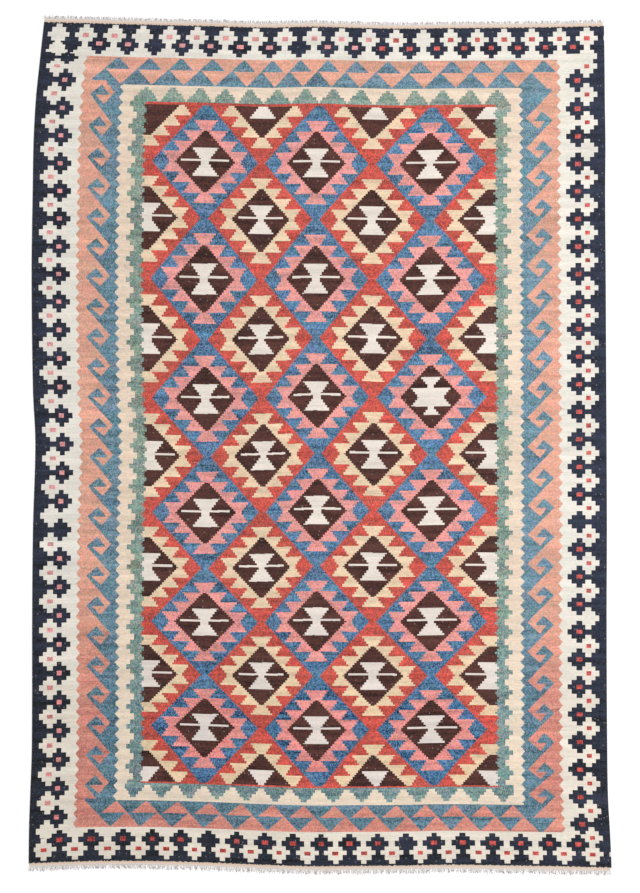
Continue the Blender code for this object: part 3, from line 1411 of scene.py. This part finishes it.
@dataclass(frozen=True)
class WovenFinish:
    """The charted cloth, one material for each zone."""

    chart: Chart
    surface: Surface = field(default_factory=Surface)
    relief: float = 0.5 * MM
    # The last row of navy is beaten down unevenly and lets the plain band show through
    ragged: float = 4.5
    ragged_from: float = 0.42
    ragged_per_warp: float = 0.37

    def build(self, zone: Zone, wool: bpy.types.NodeTree, weave: bpy.types.NodeTree) -> bpy.types.Material:
        """Make the material of one zone.

        Args:
            zone: The zone.
            wool: The dyed wool group.
            weave: The flatweave group.

        Returns:
            The material.
        """
        material, board = new_material(f"woven_{zone.value}")
        thread_map = board.node("ShaderNodeUVMap", uv_map=THREAD_MAP)
        split = board.fed("ShaderNodeSeparateXYZ", {0: thread_map.outputs["UV"]})
        warp = Reading(board, split.outputs["X"]) * WARPS
        step = Reading(board, split.outputs["Y"]).scaled(-STEPS, STEPS)
        dye = self.chart.dye(zone, self.chart.place(zone, warp, step))
        if zone in (Zone.FAR_CROSSES, Zone.NEAR_CROSSES):
            ragged = board.noise(board.place(warp.floor() * self.ragged_per_warp, 0.0, 0.0), 1.0, 2.0)
            bare = step.least(STEPS - step) < (ragged - self.ragged_from) * self.ragged
            dye = bare.pick(Dye.CREAM, dye)
        threads = {"Warp": warp, "Step": step}
        colour = board.fed("ShaderNodeGroup", {}, node_tree=wool)
        height = board.fed("ShaderNodeGroup", {}, node_tree=weave)
        for label, value in {"Dye": dye, **threads}.items():
            board.feed(colour.inputs[label], value)
        for label, value in threads.items():
            board.feed(height.inputs[label], value)
        normal = board.relief(height.outputs["Height"], self.relief)
        self.surface.shader(board, colour.outputs["Colour"], normal)
        return material


# ---------------------------------------------------------------------------------------------
# Where the chart lies on the cloth
# ---------------------------------------------------------------------------------------------


@dataclass(frozen=True)
class CutEdges:
    """The four edges of the cloth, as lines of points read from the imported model."""

    left: np.ndarray
    right: np.ndarray
    far: np.ndarray
    near: np.ndarray

    @classmethod
    def of_node(cls, name: str) -> "CutEdges":
        """Read the edges of a flat node.

        Args:
            name: The node's name.

        Returns:
            The edges, each running towards +X or +Y.
        """
        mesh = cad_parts[name].data
        points = np.array([v.co for v in mesh.vertices])
        keys, which = np.unique(np.round(points, 6), axis=0, return_inverse=True)
        which = which.reshape(-1)
        top = points[:, 2].max()
        edges: dict[tuple[int, int], int] = {}
        for polygon in mesh.polygons:
            corners = [int(which[v]) for v in polygon.vertices]
            if all(keys[c][2] > top - 1e-5 for c in corners):
                for a, b in zip(corners, corners[1:] + corners[:1]):
                    edge = (min(a, b), max(a, b))
                    edges[edge] = edges.get(edge, 0) + 1
        loop = cls._loop([edge for edge, count in edges.items() if count == 1])
        outline = keys[loop][:, :2]
        corner = {
            (sx, sy): int(np.argmax(outline[:, 0] * sx + outline[:, 1] * sy))
            for sx in (-1, 1)
            for sy in (-1, 1)
        }
        return cls(
            left=cls._chain(outline, corner[-1, -1], corner[-1, 1]),
            right=cls._chain(outline, corner[1, -1], corner[1, 1]),
            far=cls._chain(outline, corner[-1, 1], corner[1, 1]),
            near=cls._chain(outline, corner[-1, -1], corner[1, -1]),
        )

    @staticmethod
    def _loop(edges: list[tuple[int, int]]) -> list[int]:
        """Put loose outline edges in order, as one closed loop of points.

        Args:
            edges: Pairs of point numbers.

        Returns:
            Point numbers in order.
        """
        beside: dict[int, list[int]] = {}
        for a, b in edges:
            beside.setdefault(a, []).append(b)
            beside.setdefault(b, []).append(a)
        loop = [edges[0][0], edges[0][1]]
        while len(loop) < len(beside):
            a, b = beside[loop[-1]]
            loop.append(b if a == loop[-2] else a)
        return loop

    @staticmethod
    def _chain(outline: np.ndarray, start: int, stop: int) -> np.ndarray:
        """Points of the loop from one corner to the next, the shorter way round.

        Args:
            outline: Points of the loop.
            start: Number of the first corner.
            stop: Number of the next corner.

        Returns:
            The points between, with both corners.
        """
        count = len(outline)
        forward = [(start + i) % count for i in range((stop - start) % count + 1)]
        backward = [(start - i) % count for i in range((start - stop) % count + 1)]
        return outline[forward if len(forward) < len(backward) else backward]

    def side_at(self, edge: np.ndarray, y: np.ndarray) -> np.ndarray:
        """X of a long edge at each Y."""
        return np.interp(y, edge[:, 1], edge[:, 0])

    def end_at(self, edge: np.ndarray, x: np.ndarray) -> np.ndarray:
        """Y of an end at each X."""
        return np.interp(x, edge[:, 0], edge[:, 1])


@dataclass(frozen=True)
class Lay:
    """Where the chart's lines lie on the cloth, measured inwards from the cloth's own edges."""

    edges: CutEdges
    # Depths of the lines between the side borders, and steps of those between the end borders
    side_lines: tuple[float, ...] = (0, 46.5, 84.5, FIELD_DEPTH)
    step_lines: tuple[float, ...] = (0, 33, 60, FIELD_FIRST_STEP, FIELD_LAST_STEP, 776.5, 804.2, STEPS)
    # Widths of the cross, hook and guard borders along each edge
    left_widths: tuple[float, float, float] = (156 * MM, 135 * MM, 86 * MM)
    right_widths: tuple[float, float, float] = (158 * MM, 131 * MM, 87 * MM)
    far_widths: tuple[float, float, float] = (112 * MM, 95 * MM, 60 * MM)
    near_widths: tuple[float, float, float] = (116 * MM, 94 * MM, 58 * MM)
    # The field's columns lean to the left a little right of the middle
    lean: float = 12 * MM
    lean_warp: float = 340.0
    lean_reach: float = 120.0
    lean_from_depth: float = 88.0
    lean_fade: float = 30.0
    # The wool reaches this far over the plain bands
    end_reach: float = 1.0 * MM
    # X and Y depend on each other, so they are found in a few rounds from a first guess
    rounds: int = 8
    guess_x: float = 0.98
    guess_y: float = 1.44

    def place(self, warp: np.ndarray, step: np.ndarray) -> tuple[np.ndarray, np.ndarray]:
        """Find where places of the chart lie.

        Args:
            warp: Warps from the left edge.
            step: Steps from the far end.

        Returns:
            X and Y, in metres.
        """
        x = np.interp(warp, (0, WARPS), (-self.guess_x, self.guess_x))
        y = np.interp(step, (0, STEPS), (self.guess_y, -self.guess_y))
        for _ in range(self.rounds):
            x, y = self._x(warp, step, y), self._y(warp, step, x)
        return x, y

    def _between(
        self, at: np.ndarray, lines: tuple[float, ...], places: list[np.ndarray]
    ) -> np.ndarray:
        """Spread places evenly between the chart's lines.

        Args:
            at: Warps or steps.
            lines: The chart's lines.
            places: Where each line lies on the cloth.

        Returns:
            Where each warp or step lies.
        """
        out = np.zeros_like(at)
        for low, high, start, stop in zip(lines, lines[1:], places, places[1:]):
            share = np.clip((at - low) / (high - low), 0, 1)
            out = np.where((at >= low) & (at <= high), start + (stop - start) * share, out)
        return out

    def _lean(self, warp: np.ndarray, step: np.ndarray) -> np.ndarray:
        """How far to the left the field's columns lean at each place.

        Args:
            warp: Warps from the left edge.
            step: Steps from the far end.

        Returns:
            The lean, in metres.
        """
        depth = np.minimum(warp, WARPS - warp)
        share = np.clip((depth - self.lean_from_depth) / (FIELD_DEPTH - self.lean_from_depth), 0, 1)
        weight = share * share * (3 - 2 * share)
        lean = self.lean * np.clip(1 - ((warp - self.lean_warp) / self.lean_reach) ** 2, 0, 1)
        far = np.clip((step - FIELD_FIRST_STEP) / self.lean_fade, 0, 1)
        near = np.clip((FIELD_LAST_STEP - step) / self.lean_fade, 0, 1)
        return lean * weight * (far * near)

    def _x(self, warp: np.ndarray, step: np.ndarray, y: np.ndarray) -> np.ndarray:
        """X of each place, from its Y.

        Args:
            warp: Warps from the left edge.
            step: Steps from the far end.
            y: Y of each place.

        Returns:
            X, in metres.
        """
        left = self.edges.side_at(self.edges.left, y)
        right = self.edges.side_at(self.edges.right, y)
        from_left = [left + width for width in np.cumsum(self.left_widths)]
        from_right = [right - width for width in np.cumsum(self.right_widths)[::-1]]
        lines = (*self.side_lines, *(WARPS - line for line in reversed(self.side_lines)))
        places = [left, *from_left, *from_right, right]
        return self._between(warp, lines, places) - self._lean(warp, step)

    def _y(self, warp: np.ndarray, step: np.ndarray, x: np.ndarray) -> np.ndarray:
        """Y of each place, from its X.

        Args:
            warp: Warps from the left edge.
            step: Steps from the far end.
            x: X of each place.

        Returns:
            Y, in metres.
        """
        far = self.edges.end_at(self.edges.far, x)
        near = self.edges.end_at(self.edges.near, x)
        from_far = [far - width for width in np.cumsum(self.far_widths)]
        from_near = [near + width for width in np.cumsum(self.near_widths)[::-1]]
        places = [far + self.end_reach, *from_far, *from_near, near - self.end_reach]
        return self._between(step, self.step_lines, places)


# ---------------------------------------------------------------------------------------------
# Pieces
# ---------------------------------------------------------------------------------------------


def link_mesh(name: str, mesh: bpy.types.Mesh) -> bpy.types.Object:
    """Put a mesh in the scene as an object at the origin.

    Args:
        name: The object's name.
        mesh: Its mesh.

    Returns:
        The object.
    """
    piece = bpy.data.objects.new(name, mesh)
    bpy.context.scene.collection.objects.link(piece)
    return piece


@dataclass(frozen=True)
class Waves:
    """The low waves that the cloth keeps from being rolled. They lift it less than 1 mm."""

    lift: float = 0.9 * MM
    wave_along: float = 0.61
    wave_across: float = 0.83
    across_phase: float = 1.1
    # How far a wave snakes: share of a wave, turns and phase
    along_snake: tuple[float, float, float] = (0.21, 2.3, 0.7)
    across_snake: tuple[float, float, float] = (0.17, 1.9, -0.4)
    # The third wave runs aslant: turns across, turns along and phase
    slanted: tuple[float, float, float] = (5.3, 3.1, 0.5)
    shares: tuple[float, float, float] = (0.22, 0.16, 0.12)

    def underside(self, x: np.ndarray, y: np.ndarray) -> np.ndarray:
        """Height of the underside at each place.

        Args:
            x: X of each place.
            y: Y of each place.

        Returns:
            The height, in metres.
        """
        snake, turns, phase = self.along_snake
        first = np.sin(2 * math.pi * (y / self.wave_along + snake * np.sin(turns * x + phase)))
        snake, turns, phase = self.across_snake
        bent = x / self.wave_across + snake * np.sin(turns * y + phase)
        second = np.sin(2 * math.pi * bent + self.across_phase)
        across, along, phase = self.slanted
        third = np.sin(across * x + along * y + phase)
        moved = [share * wave for share, wave in zip(self.shares, (first, second, third))]
        return self.lift * (0.5 + sum(moved))


@dataclass
class Cloth:
    """The woven cloth: one thin closed sheet whose faces carry the chart's zones."""

    chart: Chart
    lay: Lay
    waves: Waves
    name: str = "kilim_cloth_woven"
    thickness: float = 2.6 * MM
    grid_pitch: float = 5.0
    rim_bulge: float = 0.5 * MM

    def _lines(self, fixed: tuple[float, ...]) -> np.ndarray:
        """Spread grid lines between fixed ones, close to the pitch apart.

        Args:
            fixed: Lines that the grid has to keep.

        Returns:
            All the lines.
        """
        out = [fixed[0]]
        for low, high in zip(fixed, fixed[1:]):
            count = max(1, round((high - low) / self.grid_pitch))
            out.extend(low + (high - low) * (i + 1) / count for i in range(count))
        return np.array(out)

    def _grid(self) -> tuple[np.ndarray, np.ndarray]:
        """Warp and step of each point of the grid, with lines where zones meet.

        Returns:
            Warps and steps, each with a row for each step line.
        """
        chart = self.chart
        depths = (0, chart.crosses_depth, chart.hooks_depth, FIELD_DEPTH)
        warps = self._lines((*depths, *(WARPS - depth for depth in reversed(depths))))
        far = (0, chart.far_crosses_step, chart.far_hooks_step, FIELD_FIRST_STEP)
        near = (FIELD_LAST_STEP, chart.near_hooks_step, chart.near_crosses_step, STEPS)
        return np.meshgrid(warps, self._lines((*far, *near)))

    def _rim(self, ring: np.ndarray, top: np.ndarray, under: np.ndarray) -> np.ndarray:
        """Points half way down the edge, pushed out a little so that it is round.

        Args:
            ring: Numbers of the grid's outer points in order.
            top: Points of the upper face.
            under: Points of the underside.

        Returns:
            A point for each of the ring's.
        """
        middle = (top[ring] + under[ring]) / 2
        ahead = np.roll(middle, -1, 0) - np.roll(middle, 1, 0)
        outwards = np.stack([-ahead[:, 1], ahead[:, 0], np.zeros(len(ring))], -1)
        outwards /= np.linalg.norm(outwards, axis=1)[:, None]
        return middle + outwards * self.rim_bulge

    def _dress(
        self,
        mesh: bpy.types.Mesh,
        faces: np.ndarray,
        places: np.ndarray,
        materials: dict[Zone, bpy.types.Material],
    ) -> None:
        """Lay the thread map on the mesh and give each face its zone's material.

        Args:
            mesh: The sheet.
            faces: Its faces.
            places: The thread map's place of each point.
            materials: The material of each zone.
        """
        uv = mesh.uv_layers.new(name=THREAD_MAP)
        uv.data.foreach_set("uv", places[faces.reshape(-1)].reshape(-1))
        order = list(Zone)
        for zone in order:
            mesh.materials.append(materials[zone])
        middles = places[faces].mean(1)
        middles = np.stack([middles[:, 0] * WARPS, (1 - middles[:, 1]) * STEPS], -1)
        which = [order.index(self.chart.zone(warp, step)) for warp, step in middles]
        mesh.polygons.foreach_set("material_index", which)
        mesh.polygons.foreach_set("use_smooth", [True] * len(faces))

    def build(self, materials: dict[Zone, bpy.types.Material]) -> bpy.types.Object:
        """Make the sheet.

        Args:
            materials: The material of each zone.

        Returns:
            The piece.
        """
        warp, step = self._grid()
        x, y = self.lay.place(warp, step)
        bottom = self.waves.underside(x, y)
        rows, columns = warp.shape
        size = rows * columns
        top_points = np.stack([x, y, bottom + self.thickness], -1).reshape(-1, 3)
        under_points = np.stack([x, y, bottom], -1).reshape(-1, 3)
        index = np.arange(size).reshape(rows, columns)
        a, b, c, d = index[:-1, :-1], index[:-1, 1:], index[1:, 1:], index[1:, :-1]
        top = np.stack([d, c, b, a], -1).reshape(-1, 4)
        under = np.stack([a, b, c, d], -1).reshape(-1, 4) + size
        ring = np.concatenate([index[0, :-1], index[:-1, -1], index[-1, :0:-1], index[:0:-1, 0]])
        belt = 2 * size + np.arange(len(ring))
        after, belt_after = np.roll(ring, -1), np.roll(belt, -1)
        upper = np.stack([ring, after, belt_after, belt], -1)
        lower = np.stack([belt, belt_after, after + size, ring + size], -1)
        points = np.concatenate([top_points, under_points, self._rim(ring, top_points, under_points)])
        faces = np.concatenate([top, under, upper, lower])
        mesh = bpy.data.meshes.new(self.name)
        mesh.from_pydata(points.tolist(), [], faces.tolist())
        places = np.stack([warp.reshape(-1) / WARPS, 1 - step.reshape(-1) / STEPS], -1)
        self._dress(mesh, faces, np.concatenate([places, places, places[ring]]), materials)
        mesh.validate()
        mesh.update()
        piece = link_mesh(self.name, mesh)
        log.info("%s: %d warps by %d steps of quads", self.name, columns - 1, rows - 1)
        return piece


REACH_ATTRIBUTE = "reach"


@dataclass(frozen=True)
class WarpFinish:
    """The plain end band and the cut warps: peach and cream weft, then bare undyed yarn, with painted shade
    between the plies and partly painted shade at the tips.
    """

    name: str = "warp_ends_yarn"
    # Colours from the inner edge of the band at 0, past its outer edge at 0.5, to the tips at 1
    colours: tuple[tuple[float, tuple[int, int, int]], ...] = (
        (0.0, (212, 188, 170)),
        (0.24, (212, 188, 170)),
        (0.38, (218, 205, 194)),
        (0.55, (206, 196, 190)),
        (0.7, (206, 196, 190)),
        # Painted shade: the grey at the tips is partly the thin frayed fibre and partly shade painted among
        # the curled ends
        (1.0, (140, 131, 130)),
    )
    # Painted shade: a grey multiplied in where the plies meet
    painted_shade_between_plies: tuple[int, int, int] = (150, 144, 140)
    streak: float = 0.12
    ply: float = 0.5
    ply_from: float = 0.35
    relief: float = 0.4 * MM
    # Fineness of each noise across and along the rug, and where it starts
    streak_grain: tuple[float, float, float] = (40.0, 700.0, 0.0)
    ply_grain: tuple[float, float, float] = (400.0, 220.0, 1.3)
    fuzz_grain: tuple[float, float, float] = (500.0, 900.0, 4.0)
    surface: Surface = field(default_factory=Surface)

    def build(self) -> bpy.types.Material:
        """Make the material.

        Returns:
            The material.
        """
        material, board = new_material(self.name)
        reach = board.node("ShaderNodeAttribute", attribute_name=REACH_ATTRIBUTE)
        split = board.fed("ShaderNodeSeparateXYZ", {0: board.node("ShaderNodeTexCoord").outputs["Object"]})
        x, y = Reading(board, split.outputs["X"]), Reading(board, split.outputs["Y"])
        streak, ply, fuzz = (
            board.noise(board.place(x * across, y * along, start), 1.0, 2.0)
            for across, along, start in (self.streak_grain, self.ply_grain, self.fuzz_grain)
        )
        place = Reading(board, reach.outputs["Fac"]) + (streak - 0.5) * self.streak
        ramp = board.colour_ramp([(at, linear(*colour)) for at, colour in self.colours])
        board.feed(ramp.inputs[0], place * 0.5)
        # Painted shade between the plies
        shade = (ply - self.ply_from) * self.ply
        colour = board.blend(shade, ramp.outputs["Color"], linear(*self.painted_shade_between_plies), "MULTIPLY")
        self.surface.shader(board, colour, board.relief(fuzz, self.relief))
        return material


@dataclass(frozen=True)
class FringeTree:
    """Geometry nodes that grow frayed warp ends from the outer edge of a band."""

    name: str = "cut warp ends"
    plies: int = 2
    length: float = 12 * MM
    spread: float = 0.5
    curl: float = 4.5 * MM
    thickness: float = 0.75 * MM
    clump: float = 2.4
    clump_scale: float = 75.0
    seed: int = 7
    points_per_end: int = 6
    sides: int = 4
    shortest: float = 0.55
    longest: float = 1.15
    wander_scale: float = 170.0
    wander_apart: float = 0.37
    sway: tuple[float, float, float] = (2.6, 1.6, 0.5)

    def build(self, material: bpy.types.Material) -> bpy.types.NodeTree:
        """Make the tree.

        Args:
            material: The yarn's material.

        Returns:
            The tree, with inputs Length, Spread, Curl, Clump, Thickness, Plies and Seed.
        """
        tree = bpy.data.node_groups.new(self.name, "GeometryNodeTree")
        face = tree.interface
        face.new_socket(name="Band", in_out="INPUT", socket_type="NodeSocketGeometry")
        for label, kind, value in (
            ("Length", "NodeSocketFloat", self.length),
            ("Spread", "NodeSocketFloat", self.spread),
            ("Curl", "NodeSocketFloat", self.curl),
            ("Clump", "NodeSocketFloat", self.clump),
            ("Thickness", "NodeSocketFloat", self.thickness),
            ("Plies", "NodeSocketInt", self.plies),
            ("Seed", "NodeSocketInt", self.seed),
        ):
            face.new_socket(name=label, in_out="INPUT", socket_type=kind).default_value = value
        face.new_socket(name="Ends", in_out="OUTPUT", socket_type="NodeSocketGeometry")
        board = Board(tree)
        entry = board.node("NodeGroupInput")
        given = {socket.name: Reading(board, socket) for socket in entry.outputs}
        strands = self._bent(board, self._placed(board, given), given)
        numbered = board.fed(
            "GeometryNodeStoreNamedAttribute",
            {"Geometry": strands, "Name": REACH_ATTRIBUTE, "Value": self._share_along(board) + 1.0},
            data_type="FLOAT",
            domain="POINT",
        )
        ring = board.fed(
            "GeometryNodeCurvePrimitiveCircle",
            {"Resolution": self.sides, "Radius": given["Thickness"] * 0.5},
        )
        tube = board.fed(
            "GeometryNodeCurveToMesh",
            {
                "Curve": numbered.outputs["Geometry"],
                "Profile Curve": ring.outputs["Curve"],
                "Fill Caps": True,
            },
        )
        joined = board.fed("GeometryNodeJoinGeometry", {0: tube.outputs["Mesh"]})
        board.feed(joined.inputs[0], given["Band"])
        whole = board.fed("GeometryNodeRealizeInstances", {0: joined.outputs[0]})
        dressed = board.fed("GeometryNodeSetMaterial", {"Geometry": whole.outputs[0], "Material": material})
        board.fed("NodeGroupOutput", {"Ends": dressed.outputs["Geometry"]})
        return tree

    def _placed(self, board: Board, given: dict[str, Reading]) -> bpy.types.NodeSocket:
        """Stand straight strands on the warp ends, turned out and gathered in small tufts.

        Args:
            board: The tree's board.
            given: The tree's inputs.

        Returns:
            The strands as curves.
        """
        roots = board.fed(
            "GeometryNodeMeshToPoints",
            {"Mesh": given["Band"], "Selection": self._attribute(board, "warp_end")},
        )
        plies = board.fed(
            "GeometryNodeDuplicateElements",
            {"Geometry": roots.outputs["Points"], "Amount": given["Plies"]},
            domain="POINT",
        )
        line = board.fed("GeometryNodeCurvePrimitiveLine", {"End": (0.0, 1.0, 0.0)})
        strand = board.fed(
            "GeometryNodeResampleCurve", {"Curve": line.outputs["Curve"], "Count": self.points_per_end}
        )
        root = board.node("GeometryNodeInputPosition").outputs["Position"]
        lean = (board.noise(root, self.clump_scale, 1.0) - 0.5) * given["Clump"]
        heading = self._random(board, given["Seed"], 1, -1.0, 1.0) * given["Spread"]
        turn = heading + self._attribute(board, "towards") + lean
        long = self._random(board, given["Seed"], 2, self.shortest, self.longest) * given["Length"]
        placed = board.fed(
            "GeometryNodeInstanceOnPoints",
            {
                "Points": plies.outputs["Geometry"],
                "Instance": strand.outputs["Curve"],
                "Rotation": board.place(0.0, 0.0, turn),
                "Scale": board.place(long, long, long),
            },
        )
        return board.fed("GeometryNodeRealizeInstances", {0: placed.outputs["Instances"]}).outputs[0]

    def _bent(
        self, board: Board, strands: bpy.types.NodeSocket, given: dict[str, Reading]
    ) -> bpy.types.NodeSocket:
        """Bend each strand its own way, more towards its tip.

        Args:
            board: The tree's board.
            strands: Straight strands.
            given: The tree's inputs.

        Returns:
            The bent strands.
        """
        index = board.node("GeometryNodeInputIndex").outputs[0]
        number = board.math("DIVIDE", index, float(self.points_per_end)).floor()
        wander = board.fed(
            "ShaderNodeTexNoise",
            {
                "Vector": board.node("GeometryNodeInputPosition").outputs["Position"],
                "W": number * self.wander_apart,
                "Scale": self.wander_scale,
                "Detail": 1.0,
            },
            noise_dimensions="4D",
        )
        centred = board.vectors("SUBTRACT", wander.outputs["Color"], (0.5, 0.5, 0.5))
        flat = board.vectors("MULTIPLY", centred, self.sway)
        bend = self._share_along(board) * given["Curl"]
        sway = board.fed("ShaderNodeVectorMath", {0: flat, "Scale": bend}, operation="SCALE")
        inputs = {"Geometry": strands, "Offset": sway.outputs[0]}
        return board.fed("GeometryNodeSetPosition", inputs).outputs["Geometry"]

    def _share_along(self, board: Board) -> Reading:
        """Share of the way from a strand's root to its tip."""
        return Reading(board, board.node("GeometryNodeSplineParameter").outputs["Factor"])

    def _attribute(self, board: Board, name: str) -> Reading:
        """Read a number that the band's points carry."""
        node = board.fed("GeometryNodeInputNamedAttribute", {"Name": name}, data_type="FLOAT")
        return Reading(board, node.outputs["Attribute"])

    def _random(self, board: Board, seed: Reading, draw: int, low: float, high: float) -> Reading:
        """Random number for each point, from the tree's seed and the number of the draw.

        Args:
            board: The tree's board.
            seed: The tree's seed.
            draw: Number of the draw.
            low: Least value.
            high: Greatest value.

        Returns:
            The number.
        """
        inputs = {2: low, 3: high, "Seed": seed + float(draw)}
        node = board.fed("FunctionNodeRandomValue", inputs, data_type="FLOAT")
        return Reading(board, node.outputs[1])


@dataclass
class EndBand:
    """One end of the rug: a narrow plain band past the last row of wool, and the cut warps."""

    name: str
    node: str
    lay: Lay
    waves: Waves
    near: bool
    length: float
    width: float = 12 * MM
    tuck: float = 1.0 * MM
    lift: float = 0.2 * MM
    band_thickness: float = 2.1 * MM
    wander: float = 0.5 * MM
    wander_turn: float = 0.9
    # Across the band: share of its width, then height as a share of its thickness
    section: Table = (
        (0.0, 0.3), (0.02, 1.0), (0.45, 0.9), (0.8, 1.0),
        (0.95, 0.8), (1.0, 0.45), (0.92, 0.1), (0.02, 0.0),
    )
    root_corner: int = 5

    def build(self, tree: bpy.types.NodeTree, fringe: FringeTree) -> bpy.types.Object:
        """Make the band, grow its fringe and leave one plain mesh.

        Args:
            tree: The fringe tree.
            fringe: The sizes that go with it.

        Returns:
            The piece.
        """
        warp = np.arange(0.5, WARPS, 1.0)
        edge_step = np.full_like(warp, STEPS if self.near else 0.0)
        x, y = self.lay.place(warp, edge_step)
        out = -1.0 if self.near else 1.0
        under = self.waves.underside(x, y) + self.lift
        rings = []
        for share, height in self.section:
            wander = self.wander * np.sin(warp * self.wander_turn) * share
            beyond = out * (share * self.width - self.tuck + wander)
            rings.append(np.stack([x, y + beyond, under + height * self.band_thickness], -1))
        rings = np.stack(rings, 1)
        count, corners = rings.shape[:2]
        index = np.arange(count * corners).reshape(count, corners)
        beside = np.roll(index, -1, 1)
        faces = np.stack([index[:-1], beside[:-1], beside[1:], index[1:]], -1).reshape(-1, 4)
        caps = [index[0][::-1], index[-1]]
        if not self.near:
            faces = faces[:, ::-1]
            caps = [cap[::-1] for cap in caps]
        mesh = bpy.data.meshes.new(self.name)
        mesh.from_pydata(rings.reshape(-1, 3).tolist(), [], faces.tolist() + [cap.tolist() for cap in caps])
        mesh.update()
        root = np.zeros((count, corners))
        root[:, self.root_corner] = 1.0
        reach = np.tile([share for share, _ in self.section], (count, 1))
        towards = np.full(count * corners, math.pi if self.near else 0.0)
        for label, values in (("warp_end", root), (REACH_ATTRIBUTE, reach), ("towards", towards)):
            mesh.attributes.new(label, "FLOAT", "POINT").data.foreach_set("value", values.reshape(-1))
        band = link_mesh(self.name, mesh)
        self._grow(band, tree, fringe)
        log.info("%s: band with %d warps, %d faces in all", self.name, count, len(band.data.polygons))
        return band

    def _grow(self, band: bpy.types.Object, tree: bpy.types.NodeTree, fringe: FringeTree) -> None:
        """Run the fringe tree on the band and keep its result as the band's mesh.

        Args:
            band: The band.
            tree: The fringe tree.
            fringe: The sizes that go with it.
        """
        modifier = band.modifiers.new("fringe", "NODES")
        modifier.node_group = tree
        values = {"Length": self.length, "Seed": fringe.seed + int(self.near), "Plies": fringe.plies}
        for item in tree.interface.items_tree:
            if item.item_type == "SOCKET" and item.in_out == "INPUT" and item.name in values:
                modifier[item.identifier] = values[item.name]
        graph = bpy.context.evaluated_depsgraph_get()
        plain = bpy.data.meshes.new_from_object(band.evaluated_get(graph))
        band.modifiers.clear()
        old = band.data
        band.data = plain
        bpy.data.meshes.remove(old)
        plain.name = self.name


# ---------------------------------------------------------------------------------------------
# Floor, light and camera
# ---------------------------------------------------------------------------------------------


@dataclass(frozen=True)
class Studio:
    """A pale floor, soft even light and a camera straight above."""

    floor_half: float = 7.0
    floor_drop: float = 0.2 * MM
    floor_grey: float = 0.97
    floor_mottle: float = 0.012
    floor_grain: float = 9.0
    sky: float = 0.73
    lamp_power: float = 262.0
    lamp_size: float = 3.0
    lamp_place: tuple[float, float, float] = (2.6, 0.6, 6.2)
    lens: float = 100.0
    sensor: float = 36.0
    picture_rows: int = 893
    row_height: float = 3.43 * MM
    centre: tuple[float, float] = (-0.6 * MM, -0.4 * MM)
    sight: float = 60.0

    def build(self) -> None:
        """Make the floor, the light and the camera."""
        self._floor()
        self._light()
        self._camera()

    def _floor(self) -> None:
        """A wide matt floor just under the rug."""
        half, drop = self.floor_half, self.floor_drop
        mesh = bpy.data.meshes.new("floor")
        square = ((-1, -1), (1, -1), (1, 1), (-1, 1))
        mesh.from_pydata([(half * x, half * y, -drop) for x, y in square], [], [(0, 1, 2, 3)])
        mesh.update()
        floor = link_mesh("floor", mesh)
        material, board = new_material("studio_floor")
        place = board.node("ShaderNodeTexCoord").outputs["Object"]
        grain = board.noise(place, self.floor_grain, 3.0)
        grey = grain.scaled(self.floor_mottle, self.floor_grey - self.floor_mottle / 2)
        colour = board.node("ShaderNodeCombineColor")
        for socket in colour.inputs:
            board.feed(socket, grey)
        Surface(roughness=0.95, specular=0.0, sheen=0.0).shader(board, colour.outputs[0], None)
        mesh.materials.append(material)
        floor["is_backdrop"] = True

    def _light(self) -> None:
        """An even pale sky and one large soft lamp."""
        world = bpy.data.worlds.new("studio")
        world.use_nodes = True
        background = world.node_tree.nodes["Background"]
        background.inputs["Color"].default_value = (1.0, 1.0, 1.0, 1.0)
        background.inputs["Strength"].default_value = self.sky
        bpy.context.scene.world = world
        data = bpy.data.lights.new("softbox", "AREA")
        data.shape = "SQUARE"
        data.size = self.lamp_size
        data.energy = self.lamp_power
        lamp = bpy.data.objects.new("softbox", data)
        lamp.location = self.lamp_place
        lamp.rotation_euler = Vector(self.lamp_place).to_track_quat("Z", "Y").to_euler()
        bpy.context.scene.collection.objects.link(lamp)

    def _camera(self) -> None:
        """A camera that looks straight down, with the far end at the top of the picture."""
        data = bpy.data.cameras.new("camera")
        data.lens = self.lens
        data.sensor_fit = "VERTICAL"
        data.sensor_height = self.sensor
        data.clip_end = self.sight
        camera = bpy.data.objects.new("camera", data)
        height = self.picture_rows * self.row_height * self.lens / self.sensor
        camera.location = (*self.centre, height)
        bpy.context.scene.collection.objects.link(camera)
        bpy.context.scene.camera = camera
        bpy.context.scene.view_settings.view_transform = "Standard"


def corners(box: tuple) -> list[list[float]]:
    """Turn a box into plain lists of numbers."""
    return [[float(value) for value in corner] for corner in box]


def main() -> None:
    """Build the rug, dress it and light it."""
    logging.basicConfig(level=logging.INFO, format="%(name)s: %(message)s")
    chart = Chart()
    lay = Lay(CutEdges.of_node("kilim_cloth"))
    waves = Waves()

    finish = WovenFinish(chart)
    wool, weave = DyedWool().build(), Flatweave().build()
    materials = {zone: finish.build(zone, wool, weave) for zone in Zone}
    cloth = Cloth(chart, lay, waves).build(materials)

    fringe = FringeTree()
    tree = fringe.build(WarpFinish().build())
    far = EndBand("far_warp_ends", "far_fringe", lay, waves, near=False, length=12 * MM)
    near = EndBand("near_warp_ends", "near_fringe", lay, waves, near=True, length=17 * MM)
    ends = [(band, band.build(tree, fringe)) for band in (far, near)]

    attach(cloth, "root")
    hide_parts("kilim_cloth")
    for band, piece in ends:
        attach(piece, "root")
        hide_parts(band.node)

    Studio().build()
    {"cad": corners(CAD_BOX), "visual": corners(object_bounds())}
    log.info("size written")


if __name__ == "__main__":
    main()
